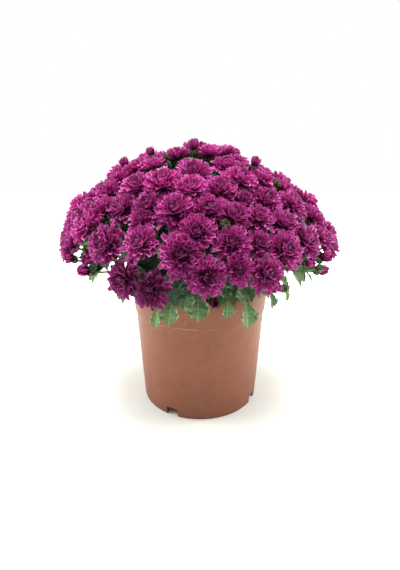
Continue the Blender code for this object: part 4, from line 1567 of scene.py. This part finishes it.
@dataclass
class Plant:
    """Green parts of one rooted plant: stem, branches, stalks, bracts and leaves.

    The rings of lower leaves give reach and level in mm, pitch in degrees and the step between two bearings.
    Bare and open sides are spans of degrees, left and right of the front, that stay free of leaves. The bare
    bud is the bearing of a bud and how far the outermost lower leaves keep from it. Sizes are spans of length
    and width in mm.
    """

    number: int
    axis: Vector
    plan: PlantPlan
    shop: Workshop
    stem_taper: tuple[float, ...] = (1, 0.9, 0.8)
    stem_sides: int = 7
    stem_steps: int = 4
    branch_radius: float = 1.5 * MM
    branch_swell: float = 1.1
    branch_taper: float = 0.35
    stalk_radius: float = 0.8 * MM
    stalk_flare: float = 1.3
    petiole_radius: float = 0.6 * MM
    petiole_knee: float = 0.6
    petiole_sag: float = 0.8
    petiole_end: float = 1 * MM
    least_petiole: float = 1 * MM
    calyx_radius: float = 3.4 * MM
    calyx_depth: float = 2.6 * MM
    cup_share: float = 0.9
    bract_count: int = 15
    tight_count: int = 16
    tight_depth: float = 1 * MM
    hem_top: float = 12
    bud_clearance: float = 22.5 * MM
    leaf_middle: float = 0.6
    phases: Span = (0, 6)
    skirt_droop: float = 48
    inner_droop: float = 18
    inner_pitch: float = 0.6
    inner_dip: float = 10
    inner_length: float = 0.8
    lower_rings: tuple[tuple[int, ...], ...] = ((46, 129, -8, 15), (66, 135, -20, 13), (84, 143, -14, 13))
    lower_sway: float = 5
    lower_spread: float = 4
    lower_tilt: float = 12
    lower_sizes: tuple[Span, Span] = ((20, 27), (13, 18))
    lower_droop: Span = (20, 60)
    bare_sides: Span = (40, 80)
    bare_bud: Span = (6, 12)
    canopy_count: int = 400
    canopy_depth: Span = (17 * MM, 34 * MM)
    canopy_reach: float = 1.1
    canopy_size: tuple[float, float] = (31 * MM, 22 * MM)
    canopy_growth: Span = (0.85, 1.15)
    canopy_sway: float = 6
    canopy_turn: float = 0.9
    canopy_droop: Span = (0.3, 1.0)
    canopy_rise: float = 0.35
    canopy_setback: float = 9
    canopy_hem: float = 4
    open_sides: Span = (35, 85)
    stalk_leaves: int = 2
    stalk_leaf_step: Span = (2.2, 3.6)
    stalk_leaf_depth: Span = (2, 10)
    stalk_leaf_lowest: float = 0.9
    stalk_leaf_sizes: tuple[Span, Span] = ((17, 24), (11, 15))
    stalk_leaf_spread: float = 0.78
    stalk_leaf_rise: Span = (0.35, 0.75)
    stalk_leaf_droop: Span = (0.2, 0.8)
    inner_leaf_shape: LeafShape = LeafShape(rows=15, columns=7, finger_depth=0.08)
    bloom_bracts: RosetteShape = RosetteShape(
        outer_length=1.5, inner_length=1.25, outer_angle=30, inner_angle=62, outer_curl=28, inner_curl=10,
        outer_width=0.75, inner_width=0.6, widest=0.4, neck=0.7, blunt=0.2, root_ring=0.25,
        root_rise=0.35, channel=-0.5, angle_spread=5, roll_spread=4, rows=5, columns=3,
    )
    cup_bracts: RosetteShape = replace(
        bloom_bracts, outer_length=1.3, inner_length=1.2, outer_angle=34, inner_angle=50, outer_curl=54,
        inner_curl=34, widest=0.5, root_ring=0.2, root_rise=0.1, angle_spread=4, rows=6,
    )
    bud_bracts: RosetteShape = replace(
        cup_bracts, outer_length=1.75, inner_length=1.6, outer_angle=14, inner_angle=42, outer_curl=92,
        inner_curl=66, outer_width=0.8, inner_width=0.7, widest=0.45, root_rise=0.2,
    )

    def lines(self, leaves: Sequence[Leaf]) -> bpy.types.Mesh:
        """Lines of the main stem, the branches, the flower stalks and the leaf stalks.

        Args:
            leaves: The plant's leaves.

        Returns:
            The mesh of lines, with a radius on each point.
        """
        foot, top = self.plan.main_stem(self.number)
        radii = [self.plan.main_radius * share for share in self.stem_taper]
        paths = [([foot, foot.lerp(top, 0.5), top], radii)]
        for path in self.plan.branches(self.number):
            count = len(path) - 1
            taper = [self.branch_swell - self.branch_taper * step / count for step in range(count + 1)]
            paths.append((path, [self.branch_radius * share for share in taper]))
        for flower, joint in self.plan.stalk_joints(self.number):
            seat = flower.base - flower.facing * self.calyx_depth
            radii = [self.stalk_radius, self.stalk_radius, self.stalk_radius * self.stalk_flare]
            paths.append(([joint, self.plan.inner_point(flower), seat], radii))
        for leaf in leaves:
            if (leaf.root - leaf.joint).length > self.least_petiole:
                middle = leaf.joint.lerp(leaf.root, self.petiole_knee) - leaf.lift * self.petiole_sag * MM
                end = leaf.root + leaf.ahead * self.petiole_end
                paths.append(([leaf.joint, middle, end], [self.petiole_radius] * 3))
        points, widths, links = [], [], []
        for path, radii in paths:
            first = len(points)
            points += [point + self.axis for point in path]
            widths += radii
            links += [(first + step, first + step + 1) for step in range(len(path) - 1)]
        return point_mesh(points, {"thick": widths}, links)

    def hanging_leaves(self) -> Iterator[LeafPlace]:
        """Leaves at the places that the solids have too, and two more that fill the hem behind a bud.

        Yields:
            Bearing, root, pitch, length, width and droop.
        """
        back = [(bearing, *BACK_SKIRT_LEAF) for bearing in BACK_SKIRT_BEARINGS]
        for bearing, reach, level, pitch, length, width in [*SKIRT_LEAVES, *FILL_LEAVES, *back]:
            root = bearing_direction(bearing) * reach * MM + UP * level * MM
            yield bearing, root, pitch, length * MM, width * MM, self.skirt_droop
        for bearing, climb, length, width in INNER_LEAVES:
            facing = self.plan.dome_facing(bearing, climb)
            root = self.plan.dome_point(bearing, climb) - facing * self.plan.inner_leaf_depth
            pitch = climb * self.inner_pitch - self.inner_dip
            yield bearing, root, pitch, length * MM * self.inner_length, width * MM, self.inner_droop

    def lower_leaves(self) -> Iterator[LeafPlace]:
        """Smaller leaves that fill the underside of the dome, all round, with the same draws for every plant.

        Yields:
            Bearing, root, pitch, length, width and droop.
        """
        rng = random.Random(SEED)
        middle, half = self.bare_bud
        for ring in self.lower_rings:
            reach, level, pitch, step = ring
            for turn in range(0, 360, step):
                bearing = turn + rng.uniform(-self.lower_sway, self.lower_sway)
                lean = min(bearing % 360, -bearing % 360)
                bare = self.bare_sides[0] < lean < self.bare_sides[1] or abs(bearing - middle) < half
                if bare and ring is self.lower_rings[-1]:
                    continue
                out = (reach + rng.uniform(-self.lower_spread, self.lower_spread)) * MM
                high = level + rng.uniform(-self.lower_sway, self.lower_sway)
                root = bearing_direction(bearing) * out + UP * high * MM
                length, width = (rng.uniform(*span) * MM for span in self.lower_sizes)
                tilt = rng.uniform(-self.lower_tilt, self.lower_tilt)
                yield bearing, root, pitch + tilt, length, width, rng.uniform(*self.lower_droop)

    def leaves_at(self, places: Iterable[LeafPlace]) -> list[Leaf]:
        """This plant's leaves among the given ones, each with the joint that its stalk leaves from.

        Args:
            places: Bearing, root, pitch, length, width and droop of each leaf.

        Returns:
            The leaves.
        """
        joints = self.plan.joints(self.number)
        leaves = []
        for bearing, root, pitch, length, width, droop in places:
            if self.plan.plant_of(bearing) == self.number:
                rise = math.radians(pitch)
                out = bearing_direction(bearing)
                ahead = out * math.cos(rise) + UP * math.sin(rise)
                lift = UP * math.cos(rise) - out * math.sin(rise)
                joint = min(joints, key=lambda point: (point - root).length)
                leaves.append(Leaf(root, ahead, lift, length, width, math.radians(droop), joint))
        return leaves

    def upper_leaves(self) -> Iterator[Leaf]:
        """Small leaves on the flower stalks, just below the flowers.

        Yields:
            The leaves.
        """
        rng = random.Random(SEED + self.number)
        for flower, joint in self.plan.stalk_joints(self.number):
            inner = self.plan.inner_point(flower)
            turn = rng.uniform(0, math.tau)
            third = flower.facing.cross(flower.aside())
            hem_bud = flower.kind is not FlowerKind.BLOOM and flower.climb < self.hem_top
            for step in range(0 if hem_bud else self.stalk_leaves):
                angle = turn + step * rng.uniform(*self.stalk_leaf_step)
                out = flower.aside() * math.cos(angle) + third * math.sin(angle)
                run = max((joint - inner).length, self.least_petiole)
                below = rng.uniform(*self.stalk_leaf_depth) * MM / run
                root = inner.lerp(joint, min(self.stalk_leaf_lowest, below))
                rise = rng.uniform(*self.stalk_leaf_rise)
                ahead = (out * self.stalk_leaf_spread + flower.facing * rise).normalized()
                lift = (flower.facing - ahead * flower.facing.dot(ahead)).normalized()
                length, width = (rng.uniform(*span) * MM for span in self.stalk_leaf_sizes)
                yield Leaf(root, ahead, lift, length, width, rng.uniform(*self.stalk_leaf_droop), root)

    def canopy_leaves(self) -> Iterator[Leaf]:
        """Leaves that close the dome below the blooms, each on a stalk from the nearest joint.

        Yields:
            The leaves.
        """
        rng = random.Random(SEED)
        joints = self.plan.joints(self.number)
        for index in range(self.canopy_count):
            share = (index + 0.5) / self.canopy_count
            climb = math.degrees(math.asin(1 - self.canopy_reach * share))
            sway = rng.uniform(-self.canopy_sway, self.canopy_sway)
            bearing = (index * GOLDEN_ANGLE + sway) % 360
            lean = min(bearing, 360 - bearing)
            facing = self.plan.dome_facing(bearing, climb)
            depth = rng.uniform(*self.canopy_depth)
            turn = rng.uniform(-self.canopy_turn, self.canopy_turn)
            size, droop = rng.uniform(*self.canopy_growth), rng.uniform(*self.canopy_droop)
            open_side = climb < self.canopy_hem and self.open_sides[0] < lean < self.open_sides[1]
            if self.plan.plant_of(bearing) == self.number and not open_side:
                down = (facing * facing.z - UP).normalized()
                along = down * math.cos(turn) + facing.cross(down) * math.sin(turn)
                ahead = (along + facing * self.canopy_rise).normalized()
                lift = (facing - ahead * facing.dot(ahead)).normalized()
                root = self.plan.dome_point(bearing, climb) - facing * depth
                root = root - along * self.canopy_setback * MM
                joint = min(joints, key=lambda point: (point - root).length)
                length, width = (side * size for side in self.canopy_size)
                yield Leaf(root, ahead, lift, length, width, droop, joint)

    def clear_of_buds(self, leaf: Leaf) -> bool:
        """Whether a leaf leaves the buds of the hem in sight.

        Args:
            leaf: The leaf.

        Returns:
            True where no bud stands near the middle of the leaf.
        """
        middle = leaf.root + leaf.ahead * leaf.length * self.leaf_middle
        return all(
            flower.kind is FlowerKind.BLOOM or flower.climb > self.hem_top
            or (middle - flower.base).length > self.bud_clearance
            for flower in self.plan.flowers
        )

    def blades(self, leaves: Sequence[Leaf], shape: LeafShape, paint: Paint) -> bpy.types.Mesh:
        """Blades of the given leaves.

        Args:
            leaves: The leaves.
            shape: Their shape.
            paint: Their finish.

        Returns:
            The mesh.
        """
        rng = random.Random(SEED + self.number)
        names = ("ahead", "lift", "length", "width", "droop")
        values = {name: [getattr(leaf, name) for leaf in leaves] for name in names}
        values["base"] = [leaf.root + self.axis for leaf in leaves]
        values["phase"] = [rng.uniform(*self.phases) for _ in leaves]
        values["shade"] = [rng.uniform(-1, 1) for _ in leaves]
        points = point_mesh(values["base"], values)
        return self.shop.grow("leaves", points, "leaves", paint, asdict(shape) | {"Seed": SEED})

    def bracts(self, kind: FlowerKind, shape: RosetteShape) -> list[bpy.types.Mesh]:
        """Bracts below this plant's flowers of one kind.

        Args:
            kind: The kind of flower.
            shape: Shape of their bracts.

        Returns:
            One mesh, or none where the plant has no such flower.
        """
        rows = []
        for flower in self.plan.flowers:
            if flower.plant == self.number and flower.kind is kind:
                cup = flower.radius * self.cup_share
                depth, radius, count = {
                    FlowerKind.BLOOM: (self.calyx_depth, self.calyx_radius, self.bract_count),
                    FlowerKind.BUD: (cup, cup, self.bract_count),
                    FlowerKind.GREEN: (self.tight_depth, flower.radius, self.tight_count),
                }[kind]
                rows.append(rosette_row(flower, flower.base - flower.facing * depth, radius, count))
        if not rows:
            return []
        values = shape.inputs() | {"Seed": SEED + self.number}
        return [self.shop.grow("bracts", rosette_points(rows, self.axis), "rosette", Paint.BRACTS, values)]

    def build(self) -> list[bpy.types.Object]:
        """Make the plant's stems with their bracts, and its leaves.

        Returns:
            The two pieces.
        """
        outer = self.leaves_at(self.hanging_leaves())
        outer += filter(self.clear_of_buds, self.leaves_at(self.lower_leaves()))
        inner = list(filter(self.clear_of_buds, [*self.upper_leaves(), *self.canopy_leaves()]))
        values = {"Sides": self.stem_sides, "Steps": self.stem_steps}
        stems = [self.shop.grow("stems", self.lines(outer + inner), "stems", Paint.STEMS, values)]
        stems += self.bracts(FlowerKind.BLOOM, self.bloom_bracts)
        stems += self.bracts(FlowerKind.BUD, self.cup_bracts)
        stems += self.bracts(FlowerKind.GREEN, self.bud_bracts)
        # Leaves inside the dome take the darker finish, as painted shade.
        blades = [
            self.blades(outer, LeafShape(), Paint.LEAVES),
            self.blades(inner, self.inner_leaf_shape, Paint.INNER_LEAVES),
        ]
        name = f"plant_{self.number + 1}"
        return [
            place_piece(f"{name}_stems", stems, [name]),
            place_piece(f"{name}_leaves", blades, [name]),
        ]


def rosette_row(
    flower: Flower, base: Vector, radius: float, petals: int, closed: float = 0.0
) -> dict[str, Any]:
    """Values that the rosette tree reads for one flower.

    Args:
        flower: The flower.
        base: Where the rosette starts on the flower's axis.
        radius: Radius of the rosette.
        petals: Number of petals.
        closed: Angle in radians by which the outer petals are raised.

    Returns:
        Attribute values by name.
    """
    return {
        "base": base, "facing": flower.facing, "aside": flower.aside(), "radius": radius,
        "petals": petals, "closed": closed, "shade": flower.seed * 2 - 1,
    }


def rosette_points(rows: Sequence[dict[str, Any]], axis: Vector) -> bpy.types.Mesh:
    """Mesh of the points that carry rosettes.

    Args:
        rows: Values of each rosette, from the pot's axis.
        axis: Foot of the pot's axis.

    Returns:
        The mesh.
    """
    values = {name: [row[name] for row in rows] for name in rows[0]}
    values["base"] = [base + axis for base in values["base"]]
    return point_mesh(values["base"], values)


@dataclass
class Blooms:
    """Magenta blooms and opening buds, one piece for each CAD node."""

    axis: Vector
    plan: PlantPlan
    shop: Workshop
    crown_height: float = 0.86
    petals_per_mm: float = 9.4
    bud_petals: int = 26
    growth: float = 1.05
    hem_growth: float = 0.94
    hem_top: float = 8
    push: float = 0.6
    rise: float = 0.5
    cup_climb: float = 52
    cup_angle: float = 42
    chance_angle: float = 14
    # Climb above which blooms get no painted shade
    fresh_climb: float = 32
    shade_spread: float = 0.7
    shade_fall: float = 28
    seeds: int = 10000
    bloom_shape: RosetteShape = RosetteShape()
    bud_shape: RosetteShape = RosetteShape(
        outer_length=1.95, inner_length=1.65, outer_angle=50, inner_angle=86, outer_curl=58, inner_curl=14,
        outer_width=0.62, inner_width=0.4, widest=0.6, neck=0.6, blunt=0.3, root_ring=0.34, root_rise=0.1,
        channel=-0.3, angle_spread=6, length_spread=0.08, roll_spread=10, rows=7, columns=5,
    )

    def bloom_row(self, flower: Flower) -> dict[str, Any]:
        """Values of a bloom's rosette: more cupped near the top, smaller at the hem and darker low down as
        painted shade.

        Args:
            flower: The bloom.

        Returns:
            Attribute values by name.
        """
        petals = round(self.petals_per_mm * flower.radius / MM)
        cupped = max(0.0, flower.climb - self.cup_climb) / (90 - self.cup_climb)
        closed = math.radians(self.cup_angle * cupped + self.chance_angle * flower.seed)
        growth = self.growth if flower.climb > self.hem_top else self.hem_growth
        row = rosette_row(flower, flower.base, flower.radius * growth, petals, closed)
        # Painted shade: blooms below the shade-free climb get darker the lower they sit under the dome.
        low_bloom_shade = min(0.0, (flower.climb - self.fresh_climb) / self.shade_fall)
        return row | {"shade": row["shade"] * self.shade_spread + low_bloom_shade}

    def petal_mesh(self, flower: Flower) -> bpy.types.Mesh:
        """Petals of one flower; a bloom's are pressed up where they meet the neighbours'.

        Args:
            flower: The bloom or opening bud.

        Returns:
            The mesh.
        """
        if flower.kind is FlowerKind.BUD:
            row = rosette_row(flower, flower.base, flower.radius, self.bud_petals)
            shape, paint = self.bud_shape, Paint.BUD_PETALS
        else:
            row, shape, paint = self.bloom_row(flower), self.bloom_shape, Paint.PETALS
        values = shape.inputs() | {"Seed": int(flower.seed * self.seeds)}
        mesh = self.shop.grow("petals", rosette_points([row], self.axis), "rosette", paint, values)
        if flower.kind is FlowerKind.BLOOM:
            self.press(mesh, flower)
        return mesh

    def press(self, mesh: bpy.types.Mesh, flower: Flower) -> None:
        """Push petals back to their own side of the neighbouring flowers, and up.

        Args:
            mesh: Petals of the flower.
            flower: The flower.
        """
        places = points_of(mesh)
        own = flower.heart()
        for other in self.plan.flowers:
            away = other.heart() - own
            if other is not flower and away.length < (flower.radius + other.radius) * self.growth:
                share = flower.radius / (flower.radius + other.radius)
                anchor = np.array(own + away * share + self.axis)
                normal = np.array(away.normalized())
                excess = np.maximum((places - anchor) @ normal, 0)[:, None]
                places += excess * (np.array(flower.facing) * self.rise - normal * self.push)
        mesh.vertices.foreach_set("co", places.ravel())

    def nodes_of_blooms(self) -> dict[str, list[Flower]]:
        """Blooms of each CAD node, by the node that has a point nearest the bloom's crown.

        Returns:
            The blooms by the node's name.
        """
        nodes = sorted(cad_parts.items())
        clouds = {name: points_of(node.data) for name, node in nodes if name.startswith("blooms_")}
        members = {name: [] for name in clouds}
        for flower in self.plan.flowers:
            if flower.kind is FlowerKind.BLOOM:
                top = flower.base + flower.facing * flower.radius * self.crown_height
                crown = np.array(top + self.axis)
                near = {name: np.linalg.norm(cloud - crown, axis=1).min() for name, cloud in clouds.items()}
                members[min(near, key=near.get)].append(flower)
        return members

    def build(self) -> list[bpy.types.Object]:
        """Make every bloom and opening bud.

        Returns:
            The pieces.
        """
        pieces = []
        for name, flowers in self.nodes_of_blooms().items():
            meshes = [self.petal_mesh(flower) for flower in flowers]
            pieces.append(place_piece(name + "_petals", meshes, [name]))
        buds = [flower for flower in self.plan.flowers if flower.kind is FlowerKind.BUD]
        for number, flower in enumerate(buds, start=1):
            name = f"bud_{number:02d}"
            pieces.append(place_piece(name + "_petals", [self.petal_mesh(flower)], [name]))
        return pieces


@dataclass
class Studio:
    """Pale floor, soft lights and the camera at the photograph's angle.

    Each part of the sky's light grows over a span of the view's direction. Each lamp has a place from the
    pot's axis, a size and a power in watts.
    """

    axis: Vector
    shop: Workshop
    floor_size: float = 6.0
    lens: float = 24.0
    sensor: float = 36.0
    camera_place: Vector = Vector((0, -0.350, 0.228))
    camera_tilt: float = 71.6
    low_light: float = 0.04
    top_light: float = 0.82
    side_light: float = 0.86
    back_light: float = 0.4
    top_span: Span = (0.1, 0.95)
    side_span: Span = (0.35, 1.0)
    back_span: Span = (-0.3, 0.8)
    lamps: tuple[tuple[tuple[float, float, float], float, float], ...] = (
        ((0.0, 0.0, 1.1), 0.8, 22.0),
        ((0.8, 0.05, 0.5), 0.6, 6.0),
        ((-0.8, 0.05, 0.5), 0.6, 6.0),
    )
    aim_level: float = 0.15

    def sky(self) -> bpy.types.World:
        """White studio that shines from above and from the sides, and less from the front.

        Returns:
            The world, plain white to the camera.
        """
        world = bpy.data.worlds.new("studio")
        world.use_nodes = True
        sheet = Sheet(world.node_tree)
        way = sheet.add("ShaderNodeSeparateXYZ", {0: sheet.add("ShaderNodeTexCoord", out="Generated")})
        shine = self.low_light + way.other("Z").between(*self.top_span) * self.top_light
        shine = shine + way.size().between(*self.side_span) * self.side_light
        shine = shine + way.other("Y").between(*self.back_span) * self.back_light
        seen = sheet.add("ShaderNodeLightPath", out="Is Camera Ray")
        back = world.node_tree.nodes["Background"]
        sheet.fill(back, {"Color": (1, 1, 1, 1), "Strength": shine.towards(1.0, seen)})
        return world

    def build(self) -> None:
        """Make the floor, the world, the lights and the camera."""
        scene = bpy.context.scene
        half = self.floor_size / 2
        mesh = bpy.data.meshes.new("floor")
        corners = [(-half, -half, 0), (half, -half, 0), (half, half, 0), (-half, half, 0)]
        mesh.from_pydata(corners, [], [(0, 1, 2, 3)])
        mesh.materials.append(self.shop.paints[Paint.FLOOR])
        new_object("floor", mesh)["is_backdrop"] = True
        scene.world = self.sky()
        aim = self.axis + UP * self.aim_level
        for place, size, power in self.lamps:
            lamp = bpy.data.lights.new("soft light", "AREA")
            lamp.shape = "DISK"
            lamp.size = size
            lamp.energy = power
            light = new_object("soft light", lamp)
            light.location = self.axis + Vector(place)
            light.rotation_euler = (aim - light.location).to_track_quat("-Z", "Y").to_euler()
        view = bpy.data.cameras.new("camera")
        view.lens = self.lens
        view.sensor_width = self.sensor
        camera = new_object("camera", view)
        camera.location = self.axis + self.camera_place
        camera.rotation_euler = (math.radians(self.camera_tilt), 0, 0)
        scene.camera = camera
        scene.view_settings.view_transform = "Standard"


def write_sizes() -> None:
    """Gather the CAD box and the visual model's box as plain lists of numbers; nothing is written."""
    boxes = {"cad": CAD_BOX, "visual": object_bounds()}
    {name: [list(corner) for corner in box] for name, box in boxes.items()}


def main() -> None:
    """Build the pieces in order and report each one."""
    logging.basicConfig(level=logging.INFO, format="%(message)s")
    low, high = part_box("pot")
    axis = Vector(((low.x + high.x) / 2, (low.y + high.y) / 2, 0))
    shop = Workshop()
    plan = PlantPlan()
    Studio(axis, shop).build()
    pot = Pot(axis, shop)
    pot.build()
    Soil(axis, pot, shop).build()
    for number in range(plan.plant_count):
        Plant(number, axis, plan, shop).build()
    Blooms(axis, plan, shop).build()
    write_sizes()


if __name__ == "__main__":
    main()
